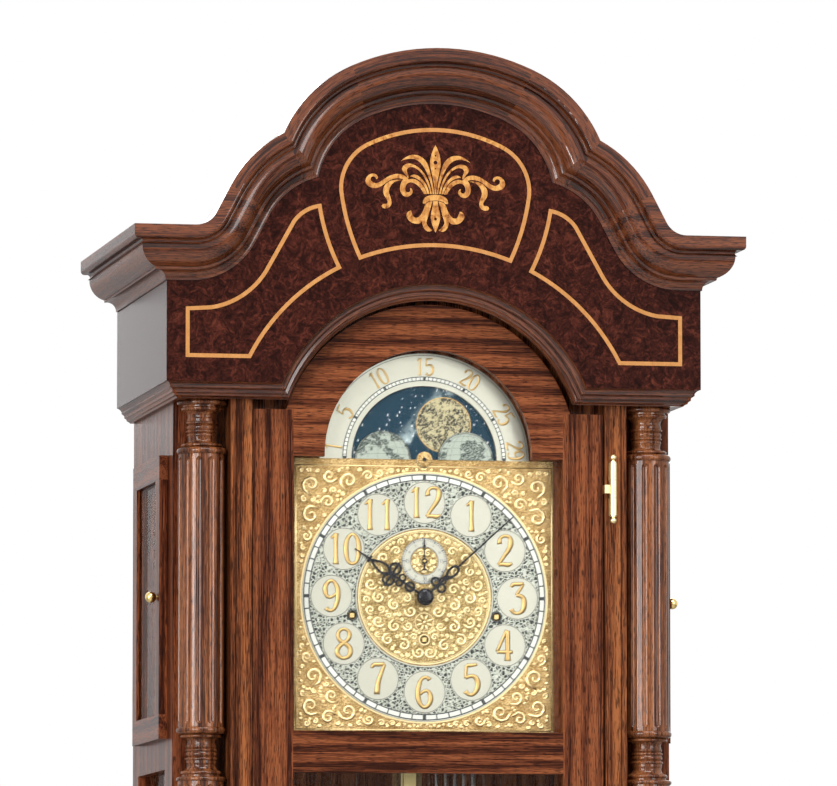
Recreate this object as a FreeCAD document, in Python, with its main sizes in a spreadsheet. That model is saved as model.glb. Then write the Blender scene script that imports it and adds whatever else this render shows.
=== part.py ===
import FreeCAD, Part
import math
import os

import Sketcher

os.makedirs("parts", exist_ok=True)

# Driving dimensions in millimetres and degrees. A name that ends in _set is a setback from the
# frieze front, one that ends in _level is a height above the floor, and half means half a width.
SIZES = {
    # Overall depth, and the case that the trunk is built from
    "overall_depth": 379,
    "trunk_half": 268.5,
    "side_thick": 19,
    "back_thick": 6,
    "trunk_level": 520,
    "trunk_floor_thick": 18,
    "roof_level": 1990,
    "roof_thick": 18,
    "fit_gap": 0.3,
    # Plinth and base
    "plinth_out": 12.5,
    "plinth_lead": 12.5,
    "plinth_height": 90,
    "plinth_thick": 24,
    "plinth_foot_width": 96,
    "plinth_arch_rise": 44,
    "plinth_arch_step": 22,
    "plinth_shoulder_share": 0.6,
    "base_out": 19,
    "base_top_level": 470,
    "base_wall": 18,
    "base_field_half": 198,
    "base_field_margin": 62,
    "base_field_proud": 3,
    "base_frame_width": 18,
    "base_frame_proud": 9,
    "waist_depth": 28.8,
    # Frieze, cornice and the moulding below them
    "frieze_out": 19,
    "frieze_thick": 26,
    "frieze_bottom_level": 1867,
    "cornice_overhang": 40.5,
    "cornice_drop": 54.5,
    "cornice_level": 2027.3,
    "crest_rise": 193,
    "hood_moulding_drop": 16.3,
    "hood_moulding_set": 26,
    "arch_level": 1796,
    "hood_arch_radius": 178.8,
    # Marquetry let into the frieze
    "stringing_width": 4.2,
    "inlay_depth": 1,
    "palmette_height": 96,
    "palmette_level": 2076,
    # Posts and columns
    "post_inner_half": 190.5,
    "post_front_set": 32,
    "post_groove": 1.6,
    "post_groove_inset": 5,
    "recess_set": 73,
    "recess_thick": 18,
    "column_inset": 28.1,
    "column_set": 57,
    "column_ring_radius": 26.7,
    "column_shaft_radius": 24.7,
    "capital_height": 57,
    "knop_level": 1449,
    "foot_knop_level": 580,
    "flute_radius": 4.6,
    "flute_depth": 2.1,
    "flute_stop": 7,
    # Openings in the sides, and what fills them
    "lower_open_front_set": 122,
    "lower_open_back_margin": 37.5,
    "lower_open_bottom_level": 585,
    "lower_open_top_level": 1464,
    "glass_thick": 3,
    "side_glass_lap": 5,
    "side_door_front_set": 106,
    "side_door_back_margin": 54.5,
    "side_door_bottom_level": 1496,
    "side_door_top_level": 1797,
    "side_door_rail": 26,
    "side_door_gap": 0.3,
    "side_door_skin": 3,
    "side_bead_lap": 2.5,
    "side_hinge_radius": 3.4,
    "side_hinge_length": 40,
    "side_hinge_inset": 55,
    "side_hinge_leaf": 1.2,
    "side_hinge_out": 3.7,
    "side_hinge_past": 4,
    "side_hinge_plate": 14,
    "side_hinge_pin_radius": 1.2,
    "knob_level": 1647,
    "knob_inset": 17,
    "knob_length": 12,
    "knob_radius": 6,
    "knob_neck_radius": 2.6,
    # Front door
    "door_half": 188.8,
    "door_set": 37,
    "door_front_thick": 10,
    "door_back_thick": 7,
    "door_bottom_level": 541,
    "door_shoulder_level": 1842,
    "door_arch_radius": 160,
    "glass_half": 145.5,
    "glass_lap": 8,
    "glass_shoulder_level": 1793,
    "glass_arch_radius": 112,
    "glass_bottom_level": 1503,
    "trunk_glass_top_level": 1459,
    "trunk_glass_bottom_level": 606,
    "bead_lap": 4.5,
    "door_sill_gap": 0.5,
    # Front door hinges
    "hinge_half": 198,
    "hinge_set": 27.2,
    "hinge_radius": 4.2,
    "hinge_length": 56,
    "hinge_finial": 7.2,
    "hinge_finial_rise": 5.6,
    "hinge_neck_radius": 2,
    "hinge_collar_radius": 3.4,
    "hinge_collar": 1.4,
    "hinge_pin_radius": 1.5,
    "hinge_leaf": 0.7,
    "hinge_leaf_half": 3.8,
    "hinge_arm_thick": 3,
    "hinge_arm_tall": 9,
    "hinge_knuckle_gap": 0.3,
    "hinge_top_level": 1762,
    "hinge_middle_level": 1120,
    "hinge_low_level": 660,
    # Dial
    "dial_set": 62,
    "dial_half": 140,
    "dial_bottom_level": 1504,
    "dial_thick": 1.5,
    "dial_arch_radius": 113.3,
    "hand_level": 1646.5,
    "chapter_outer_radius": 132,
    "chapter_inner_radius": 73,
    "chapter_thick": 1.5,
    "cartouche_radius": 22.9,
    "cartouche_circle_radius": 100.5,
    "cartouche_thick": 0.6,
    "centre_radius": 71.7,
    "centre_thick": 0.6,
    "seconds_ring_thick": 0.8,
    "moon_ring_thick": 1,
    "seconds_rise": 38.5,
    "seconds_outer_radius": 24.5,
    "seconds_inner_radius": 14.8,
    "sky_radius": 78.6,
    "moon_ring_inner_radius": 83,
    "moon_disc_radius": 81.5,
    "moon_disc_thick": 1,
    "hump_radius": 30,
    "hump_half": 44.7,
    "hump_thick": 1,
    "hub_radius": 8.5,
    "hub_thick": 1.6,
    "stud_radius": 2,
    "stud_washer_radius": 5,
    "stud_washer_thick": 1,
    "moon_disc_set": 64.3,
    "winding_hole_radius": 4.6,
    "mask_half": 190.2,
    "mask_thick": 8,
    "mask_bottom_level": 1480,
    "mask_top_level": 1986,
    "mask_open_half": 118,
    "mask_open_bottom_level": 1540,
    "mask_arch_radius": 84,
    # Hands
    "hour_length": 91,
    "minute_length": 127.7,
    "seconds_length": 23,
    "hand_thick": 0.8,
    "hour_hand_set": 57.4,
    "minute_hand_set": 55,
    "seconds_hand_set": 59.2,
    "hour_angle": 303.8,
    "minute_angle": 47.7,
    "hand_nut_radius": 8,
    "hand_nut_front_set": 52.6,
    "hour_pipe_radius": 4,
    "hour_collet_radius": 8,
    "minute_collet_radius": 9,
    "seconds_collet_radius": 3,
    "hour_wheel_radius": 22,
    "hour_wheel_set": 70,
    "hour_wheel_teeth": 60,
    # Movement frame
    "plate_front_set": 77,
    "plate_back_set": 132,
    "plate_thick": 3,
    "plate_half": 112,
    "plate_bottom_level": 1566,
    "plate_top_level": 1748,
    "pillar_radius": 5,
    "pillar_inset": 10,
    "running_gap": 0.05,
    "pass_gap": 1,
    "seatboard_thick": 20,
    "seatboard_half": 190,
    "seatboard_front_set": 74,
    "seatboard_post_gap": 0.3,
    "seatboard_back_set": 176,
    "cable_hole_radius": 3.5,
    "rod_slot_half": 22,
    "rod_slot_width": 14,
    "wheel_slot_half": 29,
    "wheel_slot_width": 6,
    "cheek_front_set": 95,
    "cheek_depth": 75,
    "cheek_width": 22,
    "cheek_drop": 52,
    # Going train. Teeth are counted, and each module follows from a distance between two arbors
    "centre_arbor_radius": 2.5,
    "train_arbor_radius": 1.4,
    "wheel_thick": 2,
    "pinion_length": 5,
    "wheel_set": 84,
    "wheel_pitch": 9,
    "pinion_teeth": 8,
    "great_teeth": 120,
    "centre_teeth": 64,
    "third_teeth": 60,
    "third_across": 9.9,
    "third_rise": 23.17,
    "escape_teeth": 30,
    "escape_radius": 15.5,
    "escape_root_radius": 12.8,
    "anchor_rise": 69,
    "anchor_thick": 3,
    "crutch_set": 136.5,
    "crutch_thick": 1.5,
    "crutch_half": 3,
    "crutch_drop": 62,
    "crutch_foot": 6,
    "tine_width": 2,
    "tine_gap": 0.3,
    # Winding drums
    "drum_half": 78,
    "drum_side_drop": 20,
    "drum_time_drop": 45,
    "drum_radius": 13.1,
    "drum_flange_radius": 20,
    "drum_flange_thick": 2,
    "drum_start_set": 94,
    "drum_end_set": 124,
    "drum_arbor_radius": 3,
    "winding_square_half": 2.3,
    "winding_square_set": 60.5,
    # Weights, pulleys and cables
    "cable_radius": 0.6,
    "cable_spread": 14,
    "cable_set": 107,
    "pulley_level": 920,
    "pulley_radius": 17,
    "pulley_width": 7,
    "groove_radius": 13.1,
    "groove_half": 1.6,
    "pulley_axle_radius": 2,
    "stirrup_thick": 1.6,
    "stirrup_gap": 0.7,
    "stirrup_drop": 21,
    "stirrup_bridge": 3,
    "shank_radius": 3,
    "stirrup_width": 12,
    "weight_radius": 28,
    "weight_length": 205,
    "weight_hook": 46,
    "weight_cap": 6,
    "weight_cap_radius": 24,
    # Pendulum
    "rod_set": 150,
    "rod_width": 16,
    "rod_thick": 3,
    "rod_head_width": 8,
    "rod_head": 125,
    "rod_head_over": 5,
    "pin_radius": 1.5,
    "bob_level": 622,
    "bob_radius": 76,
    "bob_thick": 22,
    "bob_edge": 4,
    "bob_slot_gap": 0.3,
    "screw_radius": 2.2,
    "screw_length": 16,
    "rating_nut_radius": 8,
    "rating_nut_height": 10,
    "cock_half": 13,
    "cock_rise": 8.5,
    "cock_height": 18,
    "cock_back_set": 158,
    "cheek_thick": 5,
    "cheek_half": 5,
    # Chime rods in their block, and the hammers
    "chime_count": 5,
    "chime_first": 48,
    "chime_pitch": 10,
    "chime_rod_radius": 1.6,
    "chime_set": 240,
    "chime_block_side": 9,
    "chime_block_level": 1500,
    "chime_block_height": 34,
    "chime_block_depth": 24,
    "chime_bracket_half": 18,
    "chime_bracket_height": 22,
    "chime_long": 420,
    "chime_step": 26,
    "hammer_lug": 4,
    "hammer_lug_depth": 12,
    "hammer_lug_rise": 27,
    "hammer_arbor_set": 232,
    "hammer_arbor_drop": 8,
    "hammer_arbor_radius": 2,
    "hammer_sleeve_radius": 3.6,
    "hammer_arm": 3,
    "hammer_arm_reach": 12,
    "hammer_head_radius": 5,
    "hammer_head_length": 19,
    "hammer_head_under": 12,
    "hammer_gap": 3.4,
    "hammer_side_gap": 0.3,
}

doc = FreeCAD.newDocument("floor_clock")
sheet = doc.addObject("Spreadsheet::Sheet", "Sizes")
for row, (alias, value) in enumerate(SIZES.items(), 1):
    sheet.set(f"A{row}", alias)
    sheet.set(f"B{row}", str(value))
    sheet.setAlias(f"B{row}", alias)
doc.recompute()


class Length(float):
    """A number together with the sheet formula that it comes from."""

    def __new__(cls, value, formula):
        made = super().__new__(cls, value)
        made.formula = formula
        return made

    def __add__(self, other):
        return Length(float(self) + float(other), f"({self.formula} + {formula(other)})")

    def __radd__(self, other):
        return Length(float(other) + float(self), f"({formula(other)} + {self.formula})")

    def __sub__(self, other):
        return Length(float(self) - float(other), f"({self.formula} - {formula(other)})")

    def __rsub__(self, other):
        return Length(float(other) - float(self), f"({formula(other)} - {self.formula})")

    def __mul__(self, other):
        return Length(float(self) * float(other), f"({self.formula} * {formula(other)})")

    __rmul__ = __mul__

    def __truediv__(self, other):
        return Length(float(self) / float(other), f"({self.formula} / {formula(other)})")

    def __neg__(self):
        return Length(-float(self), f"(0 - {self.formula})")


def formula(value):
    return value.formula if isinstance(value, Length) else f"{float(value):.9f}"


def root(value):
    return Length(math.sqrt(value), f"sqrt({value.formula})")


class Sheet:
    """The sheet's values, read by name."""

    def __getattr__(self, alias):
        return Length(float(sheet.get(alias)), f"Sizes.{alias}")


s = Sheet()
Vector = FreeCAD.Vector
front = s.cornice_overhang - s.overall_depth / 2
back = s.overall_depth / 2
frieze_half = s.trunk_half + s.frieze_out
base_half = s.trunk_half + s.base_out
column_half = s.trunk_half - s.column_inset
post_outer_half = column_half - s.column_ring_radius - s.fit_gap
nodes = {}
AXES = {"x": Vector(1, 0, 0), "y": Vector(0, 1, 0), "z": Vector(0, 0, 1)}
PLANES = {"x": "YZ_Plane", "y": "XZ_Plane", "z": "XY_Plane"}


# Document objects that take their sizes from the sheet
def bind(item, **formulas):
    for name, value in formulas.items():
        item.setExpression(name, formula(value))
    return item


def put(item, at):
    for axis, value in zip("xyz", at):
        item.setExpression(f".Placement.Base.{axis}", formula(value))
    return item


def box(label, at, size):
    item = doc.addObject("Part::Box", label)
    bind(item, Length=size[0], Width=size[1], Height=size[2])
    return put(item, at)


def rod(label, axis, at, radius, length):
    item = doc.addObject("Part::Cylinder", label)
    item.Placement = FreeCAD.Placement(Vector(), FreeCAD.Rotation(AXES["z"], AXES[axis]))
    bind(item, Radius=radius, Height=length)
    return put(item, at)


def cut(label, base, tool):
    item = doc.addObject("Part::Cut", label)
    item.Base, item.Tool = base, tool
    return item


def join(label, items):
    item = doc.addObject("Part::MultiFuse", label)
    item.Shapes = items
    return item


def group(label, items):
    item = doc.addObject("Part::Compound", label)
    item.Links = items
    return item


def feature(label, shape):
    item = doc.addObject("Part::Feature", label)
    item.Shape = shape
    item.Placement = shape.Placement
    return item


def node(label, item):
    item.Label = label
    nodes[label] = item
    return item


# Outlines: each corner is (x, y) or (x, y, bulge), where bulge bends the edge that arrives there
# into an arc, as a share of the edge's length and positive to the left of the way it runs
def arc_middle(a, b, bulge):
    dx, dy = b[0] - a[0], b[1] - a[1]
    return ((a[0] + b[0]) / 2 - dy * bulge, (a[1] + b[1]) / 2 + dx * bulge)


def edges(points):
    """The edges of a closed outline, as (start, end, bulge)."""
    found = []
    for i, point in enumerate(points):
        last = points[i - 1]
        found.append((last[:2], point[:2], point[2] if len(point) > 2 else 0))
    return found


def flat(point):
    return Vector(float(point[0]), float(point[1]), 0)


def curve(a, b, bulge):
    if not bulge:
        return Part.LineSegment(flat(a), flat(b))
    return Part.Arc(flat(a), flat(arc_middle(a, b, bulge)), flat(b))


def face(*outlines):
    """A face in the XY plane; the outlines after the first are holes."""
    wires = [Part.Wire([curve(*e).toShape() for e in edges(o)]) for o in outlines]
    found = Part.Face(wires[0])
    for wire in wires[1:]:
        found = found.cut(Part.Face(wire))
    return found


def slab(shape, at, depth):
    """Stands a flat shape upright, its own y along Z, and thickens it backwards from at."""
    shape = shape.copy()
    shape.rotate(Vector(), AXES["x"], 90)
    shape.translate(Vector(0, float(at), 0))
    return shape.extrude(Vector(0, float(depth), 0))


def trace(sketch, points):
    """Draws a closed outline in a sketch and ties every corner and arc to the sheet."""
    first = sketch.GeometryCount
    runs = edges(points)
    drawn = [curve(end, start, -bulge) if bulge > 0 else curve(start, end, bulge)
             for start, end, bulge in runs]
    sketch.addGeometry(drawn, False)
    ends = []
    for i, (start, _, _) in enumerate(runs):
        near = (sketch.Geometry[first + i].StartPoint - flat(start)).Length < 1e-6
        ends.append((1, 2) if near else (2, 1))
    ties, formulas = [], []
    for i, (start, end, bulge) in enumerate(runs):
        j = (i + 1) % len(runs)
        ties.append(Sketcher.Constraint("Coincident", first + i, ends[i][1], first + j, ends[j][0]))
        formulas.append(None)
        for name, line, value in (("DistanceX", -2, start[0]), ("DistanceY", -1, start[1])):
            if value:
                ties.append(Sketcher.Constraint(name, -1, 1, first + i, ends[i][0], float(value)))
            else:
                ties.append(Sketcher.Constraint("PointOnObject", first + i, ends[i][0], line))
            formulas.append(value)
        if bulge:
            across, up = end[0] - start[0], end[1] - start[1]
            share = (1 + 4 * bulge * bulge) / (8 * abs(bulge))
            radius = root(across * across + up * up) * share
            ties.append(Sketcher.Constraint("Radius", first + i, float(radius)))
            formulas.append(radius)
    number = sketch.ConstraintCount
    sketch.addConstraint(ties)
    for i, value in enumerate(formulas):
        if isinstance(value, Length) and value:
            sketch.setExpression(f"Constraints[{number + i}]", formula(value))


def plane_of(body, axis):
    return next(f for f in body.Origin.OriginFeatures if f.Role == PLANES[axis])


def board(label, axis, layers, at=(0, 0, 0)):
    """A body of one or more pads along an axis; each layer is (outlines, start, thickness)."""
    body = doc.addObject("PartDesign::Body", label)
    for outlines, start, thick in layers:
        sketch = body.newObject("Sketcher::SketchObject", label + "_sketch")
        sketch.AttachmentSupport = [(plane_of(body, axis), "")]
        sketch.MapMode = "FlatFace"
        side = -1 if axis == "y" else 1
        if start:
            sketch.setExpression(".AttachmentOffset.Base.z", formula(start * side))
        for outline in outlines:
            trace(sketch, outline)
        pad = body.newObject("PartDesign::Pad", label + "_pad")
        pad.Profile = sketch
        pad.Reversed = axis == "y"
        bind(pad, Length=thick)
        doc.recompute()
    return put(body, at)


def turned(label, profile, at):
    """A body turned about the vertical line through at; the profile is (radius, height) corners."""
    body = doc.addObject("PartDesign::Body", label)
    sketch = body.newObject("Sketcher::SketchObject", label + "_sketch")
    sketch.AttachmentSupport = [(plane_of(body, "y"), "")]
    sketch.MapMode = "FlatFace"
    trace(sketch, profile)
    turn = body.newObject("PartDesign::Revolution", label + "_turn")
    turn.Profile = sketch
    turn.ReferenceAxis = (sketch, ["V_Axis"])
    turn.Angle = 360
    doc.recompute()
    return put(body, at)


def rectangle(x0, y0, x1, y1):
    return [(x0, y0), (x1, y0), (x1, y1), (x0, y1)]


# Mouldings: a profile of (left of the way, along up) corners is run along the lines and arcs of a
# flat path, and cut at each bend on the line that halves it
UPRIGHT = (Vector(1, 0, 0), Vector(0, 0, 1), Vector(0, -1, 0))
LEVEL = (Vector(1, 0, 0), Vector(0, 1, 0), Vector(0, 0, 1))


def heading(leg, at_end):
    """The way a leg of a path runs at one of its ends, as an angle."""
    (ax, ay), (bx, by), bulge = leg
    half_turn = 2 * math.atan(2 * bulge)
    return math.atan2(by - ay, bx - ax) + (-half_turn if at_end else half_turn)


def halfway(first, second):
    return first + math.remainder(second - first, 2 * math.pi) / 2


def section(profile, spot, left, up):
    """The profile as a face that stands at a spot of the path."""
    def place(point):
        return spot + left * float(point[0]) + up * float(point[1])

    drawn = []
    for a, b, bulge in edges(profile):
        if bulge:
            drawn.append(Part.Arc(place(a), place(arc_middle(a, b, bulge)), place(b)).toShape())
        else:
            drawn.append(Part.LineSegment(place(a), place(b)).toShape())
    return Part.Face(Part.Wire(drawn))


def moulding(profile, path, frame, closed=False):
    """One solid for each line or arc of the path."""
    across, over, up = frame
    normal = across.cross(over)
    legs = [((float(a[0]), float(a[1])), (float(b[0]), float(b[1])), float(c)) for a, b, c in edges(path)]
    if not closed:
        legs = legs[1:]
    spare = 4 * max(abs(float(p[0])) for p in profile)
    size = 3 * max(math.dist(a, b) for a, b, _ in legs) + spare

    def spot(point):
        return across * point[0] + over * point[1]

    def way(angle):
        return across * math.cos(angle) + over * math.sin(angle)

    def half_space(point, angle, side):
        left = way(angle + math.pi / 2)
        corner = spot(point) - left * size - up * size
        base = Part.makePolygon([
            corner, corner + left * 2 * size, corner + left * 2 * size + up * 2 * size,
            corner + up * 2 * size, corner,
        ])
        return Part.Face(base).extrude(way(angle) * side * size)

    solids = []
    for i, leg in enumerate(legs):
        a, b, bulge = leg
        into, away = heading(leg, False), heading(leg, True)
        shape = section(profile, spot(a), way(into + math.pi / 2), up)
        if bulge:
            chord, turn = math.dist(a, b), 4 * math.atan(2 * abs(bulge))
            radius = chord / 2 / math.sin(turn / 2)
            side = 1 if bulge < 0 else -1
            centre = spot(a) + way(into + side * math.pi / 2) * radius
            extra = min(spare / radius, (math.pi - turn) / 2) / 2
            shape.rotate(centre, normal, math.degrees(-side * extra))
            solid = shape.revolve(centre, normal, math.degrees(side * (turn + 2 * extra)))
        else:
            shape.translate(way(into) * -spare)
            solid = shape.extrude(way(into) * (math.dist(a, b) + 2 * spare))
        first, last = not closed and i == 0, not closed and i == len(legs) - 1
        mitre_in = into if first else halfway(heading(legs[i - 1], True), into)
        mitre_out = away if last else halfway(away, heading(legs[(i + 1) % len(legs)], False))
        solid = solid.common(half_space(a, mitre_in, 1)).common(half_space(b, mitre_out, -1))
        solids.append(solid.Solids[0])
    return solids


def scaled(shares, across, up):
    return [(p[0] * across, p[1] * up) + tuple(p[2:]) for p in shares]


def moved(points, dx, dy):
    return [(p[0] + dx, p[1] + dy) + tuple(p[2:]) for p in points]


# Plinth: four boards with the arch between the bracket feet sawn out of the front and sides
def foot_outline(low, high, height):
    """A board's outline from the corner foot at low to the one at high."""
    foot, step, rise = s.plinth_foot_width, s.plinth_arch_step, s.plinth_arch_rise
    shoulder = rise * s.plinth_shoulder_share
    return [
        (low, 0), (low + foot, 0), (low + foot + step, shoulder, -0.22),
        (low + foot + step * 2, rise, 0.25), (high - foot - step * 2, rise),
        (high - foot - step, shoulder, 0.25), (high - foot, 0, -0.22), (high, 0),
        (high, height), (low, height),
    ]


def plinth():
    thick, half, height = s.plinth_thick, base_half + s.plinth_out, s.plinth_height
    face_at = front - s.plinth_lead
    parts = [board("plinth_front", "y", [([foot_outline(-half, half, height)], 0, thick)], (0, face_at, 0))]
    for name, x in (("plinth_left", -half), ("plinth_right", half - thick)):
        outline = foot_outline(face_at + thick, back, height)
        parts.append(board(name, "x", [([outline], 0, thick)], (x, 0, 0)))
    parts.append(box("plinth_back", (-half + thick, back - s.base_wall, s.plinth_arch_rise),
                     ((half - thick) * 2, s.base_wall, height - s.plinth_arch_rise)))
    node("plinth", group("plinth_group", parts))


# Base: a box with its floor, and the raised field on its front in a mitred frame.
# The profile's rows are (across, out) as shares of the frame's width and of how far it is proud
PANEL_SHARES = [
    (0, 0), (0, 0.55), (-0.3, 0.55), (-0.3, 1, 0.2), (-0.55, 1, 0.15), (-0.9, 0.4, -0.15), (-1, 0.4), (-1, 0),
]


def base():
    half, wall, low = base_half, s.base_wall, s.plinth_height
    outer = rectangle(-half, front, half, back)
    inner = rectangle(-half + wall, front + wall, half - wall, back - wall)
    height = s.base_top_level - low
    layers = [([outer], 0, wall), ([outer, inner], wall, height - wall)]
    node("base_box", board("base_box", "z", layers, (0, 0, low)))
    wide, margin = s.base_field_half, s.base_field_margin
    bottom, top = low + margin, s.base_top_level - margin
    field = box("base_field", (-wide, front - s.base_field_proud, bottom),
                (wide * 2, s.base_field_proud, top - bottom))
    profile = scaled(PANEL_SHARES, s.base_frame_width, s.base_frame_proud)
    path = rectangle(-wide, bottom, wide, top)
    rails = [r.translated(Vector(0, float(front), 0)) for r in moulding(profile, path, UPRIGHT, True)]
    node("base_panel", group("base_panel_group", [field, feature("base_panel_frame", Part.Compound(rails))]))


# Waist moulding: three mitred runs that carry the narrower trunk. The rows are (inward, up), as
# shares of the step from base to trunk and of the rise
WAIST_SHARES = [
    (-0.47, 0), (-0.47, 0.18, 0.3), (-0.19, 0.22), (-0.19, 0.32), (0.8, 0.86, -0.2), (0.8, 0.92), (1, 1),
]


def waist():
    low, high, half, deep = s.base_top_level, s.trunk_level, base_half, s.waist_depth
    profile = [(deep, 0)] + scaled(WAIST_SHARES, half - s.trunk_half, high - low) + [(deep, high - low)]
    path = [(-half, back), (-half, front), (half, front), (half, back)]
    runs = [r.translated(Vector(0, 0, float(low))) for r in moulding(profile, path, LEVEL)]
    node("waist_moulding", feature("waist_moulding", Part.Compound(runs)))
    inset = half - deep
    floor = box("trunk_floor", (-inset, front + deep, high - s.trunk_floor_thick),
                (inset * 2, back - front - deep, s.trunk_floor_thick))
    sill = box("door_sill", (-s.mask_half, front + s.door_set, high),
               (s.mask_half * 2, s.door_front_thick + s.glass_thick + s.door_back_thick,
                s.door_bottom_level - s.door_sill_gap - high))
    node("floor_board", group("floor_group", [floor, sill]))


# Trunk: side boards with an upper opening under the side door and a lower one for glass
def trunk():
    low, high = s.trunk_level, s.roof_level + s.roof_thick
    start, end = front + s.lower_open_front_set, back - s.lower_open_back_margin
    outline = rectangle(front + s.recess_set, low, back, high)
    upper = side_door_outline(s.side_door_rail)
    lower = rectangle(start, s.lower_open_bottom_level, end, s.lower_open_top_level)
    lap = s.side_glass_lap
    rebate = rectangle(start - lap, s.lower_open_bottom_level - lap, end + lap, s.lower_open_top_level + lap)
    outer, inner = s.side_thick / 2 - s.glass_thick / 2, s.side_thick / 2 + s.glass_thick / 2
    for side, sign in (("left", -1), ("right", 1)):
        skins = [([outline, upper, lower], 0, inner), ([outline, upper, rebate], inner, outer)]
        if sign > 0:
            skins = [([outline, upper, rebate], 0, outer), ([outline, upper, lower], outer, inner)]
        x = -s.trunk_half if sign < 0 else s.trunk_half - s.side_thick
        node(f"{side}_side", board(f"{side}_side", "x", skins, (x, 0, 0)))
    panes = []
    right = s.trunk_half - inner - s.glass_thick
    for name, x in (("left_pane", inner - s.trunk_half), ("right_pane", right)):
        panes.append(box(name, (x, start - lap, s.lower_open_bottom_level - lap),
                         (s.glass_thick, end - start + lap * 2,
                          s.lower_open_top_level - s.lower_open_bottom_level + lap * 2)))
    node("side_glasses", group("side_glasses_group", panes))
    inside = s.trunk_half - s.side_thick
    node("back_board", box("back_board", (-inside, back - s.back_thick, low),
                           (inside * 2, s.back_thick, high - low)))
    start = front + s.post_front_set
    node("roof_board", box("roof_board", (-inside, start, s.roof_level),
                           (inside * 2, back - s.back_thick - start, s.roof_thick)))


# Posts: the face of the trunk beside the door, with the back of the column's recess
def posts():
    inner, outer = s.post_inner_half, post_outer_half
    near, deep = front + s.post_front_set, front + s.recess_set
    far, side = front + s.recess_set + s.recess_thick, s.trunk_half - s.side_thick
    groove, inset = s.post_groove, s.post_groove_inset
    plan = [
        (inner, near), (outer - inset - groove, near), (outer - inset - groove, near + groove),
        (outer - inset, near + groove), (outer - inset, near), (outer, near), (outer, deep), (side, deep),
        (side, far), (inner, far),
    ]
    for name, sign in (("left", -1), ("right", 1)):
        outline = [(p[0] * sign, p[1]) for p in plan]
        height = s.roof_level - s.trunk_level
        node(f"{name}_post", board(f"{name}_post", "z", [([outline], 0, height)], (0, 0, s.trunk_level)))


# Columns: turned capitals and knops with fluted shafts between them, sawn flat at the back.
# Each row is (height, radius, bulge) as shares of the capital's height and the ring's radius
CAPITAL_SHARES = [
    (1.0, 0.92, 0), (0.918, 0.92, 0.4), (0.907, 0.77, 0), (0.88, 0.77, 0), (0.81, 0.77, 0.35),
    (0.66, 0.61, -0.25), (0.615, 0.61, 0), (0.56, 0.61, 0.4), (0.545, 0.58, 0), (0.465, 0.60, 0.2),
    (0.45, 0.59, 0), (0.405, 0.61, 0.4), (0.39, 0.58, 0), (0.33, 0.59, 0.2), (0.275, 0.57, 0),
    (0.196, 0.78, -0.25), (0.144, 0.79, 0.35), (0.134, 0.75, 0), (0.12, 0.92, 0), (0.0, 0.92, 0.3),
]


def capital(level, upright):
    """Corners of a capital from its top down, or of one turned over."""
    tall, ring = s.capital_height, s.column_ring_radius
    if upright:
        return [(ring * r, level + tall * h, b) for h, r, b in CAPITAL_SHARES]
    rows = []
    for i, (h, r, _) in enumerate(reversed(CAPITAL_SHARES)):
        bend = CAPITAL_SHARES[-i][2] if i else 0
        rows.append((ring * r, level + tall * (1 - h), bend))
    return rows


def columns():
    top = s.frieze_bottom_level - s.hood_moulding_drop
    shaft, tall, ring = s.column_shaft_radius, s.capital_height, s.column_ring_radius
    knop, foot = s.knop_level, s.foot_knop_level
    profile = [(0, top)] + capital(top - tall, True)
    profile += [(shaft, top - tall), (shaft, knop + tall)] + capital(knop, False)
    profile += [(shaft, knop), (shaft, foot + tall)] + capital(foot, False)
    profile += [(ring, s.trunk_level), (0, s.trunk_level)]
    spans = [(knop + tall, top - tall), (foot + tall, knop)]
    for name, sign in (("left", -1), ("right", 1)):
        x, y = column_half * sign, front + s.column_set
        body = turned(f"{name}_turning", profile, (x, y, 0))
        flutes = feature(f"{name}_flutes", Part.Compound(flute_solids(spans, float(x), float(y))))
        side = ring * 2
        behind = box(f"{name}_flat", (x - side, front + s.recess_set, 0), (side * 2, side, top + side))
        node(f"{name}_column", cut(f"{name}_column", cut(f"{name}_fluted", body, flutes), behind))


FLUTES = 12


def flute_solids(spans, x, y):
    """Round-ended grooves about a column's axis."""
    solids = []
    for low, high in spans:
        low, high = float(low + s.flute_stop), float(high - s.flute_stop)
        radius = float(s.flute_radius)
        out = float(s.column_shaft_radius - s.flute_depth) + radius
        for k in range(FLUTES):
            angle = math.tau * (k + 0.5) / FLUTES
            spot = Vector(x + out * math.cos(angle), y + out * math.sin(angle), low)
            groove = Part.makeCylinder(radius, high - low, spot)
            ends = [Part.makeSphere(radius, spot + Vector(0, 0, rise)) for rise in (0, high - low)]
            solids.append(groove.fuse(ends))
    return solids


# Frieze: the arched front board and two side boards. Each row of the crest is (across, up, bulge)
# as shares of the cornice's half width and of the crest's rise, from the right end to the middle
CREST_SHARES = [
    (1.0, 0.0), (0.8021, 0.0, 0), (0.7363, 0.0679, 0.1395), (0.6899, 0.2187, 0),
    (0.5180, 0.5124, -0.0753), (0.2985, 0.8902, -0.0923), (-0.2985, 0.8902, -0.1084),
]


def crest(first_half):
    """The crest from its right end, at first_half, over the top to its left end."""
    half = frieze_half + s.cornice_overhang
    points = [(half * p[0], s.cornice_level + s.crest_rise * p[1]) + tuple(p[2:]) for p in CREST_SHARES]
    points[0] = (first_half, s.cornice_level)
    count = len(points) - 1
    for i in range(count - 2, -1, -1):
        bend = points[i + 1][2] if len(points[i + 1]) > 2 else 0
        points.append((-points[i][0], points[i][1], bend))
    return points


def arch_x(radius, level):
    """How far from the middle the door's arch of a radius is, at a level above its centre."""
    rise = level - s.arch_level
    return root(radius * radius - rise * rise)


def arch_bulge(radius, level):
    """The bulge of the arch over the top, from the right at a level to the left at it."""
    rise = level - s.arch_level
    turn = math.pi - 2 * math.asin(rise / radius)
    return math.tan(turn / 4) / 2


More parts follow.
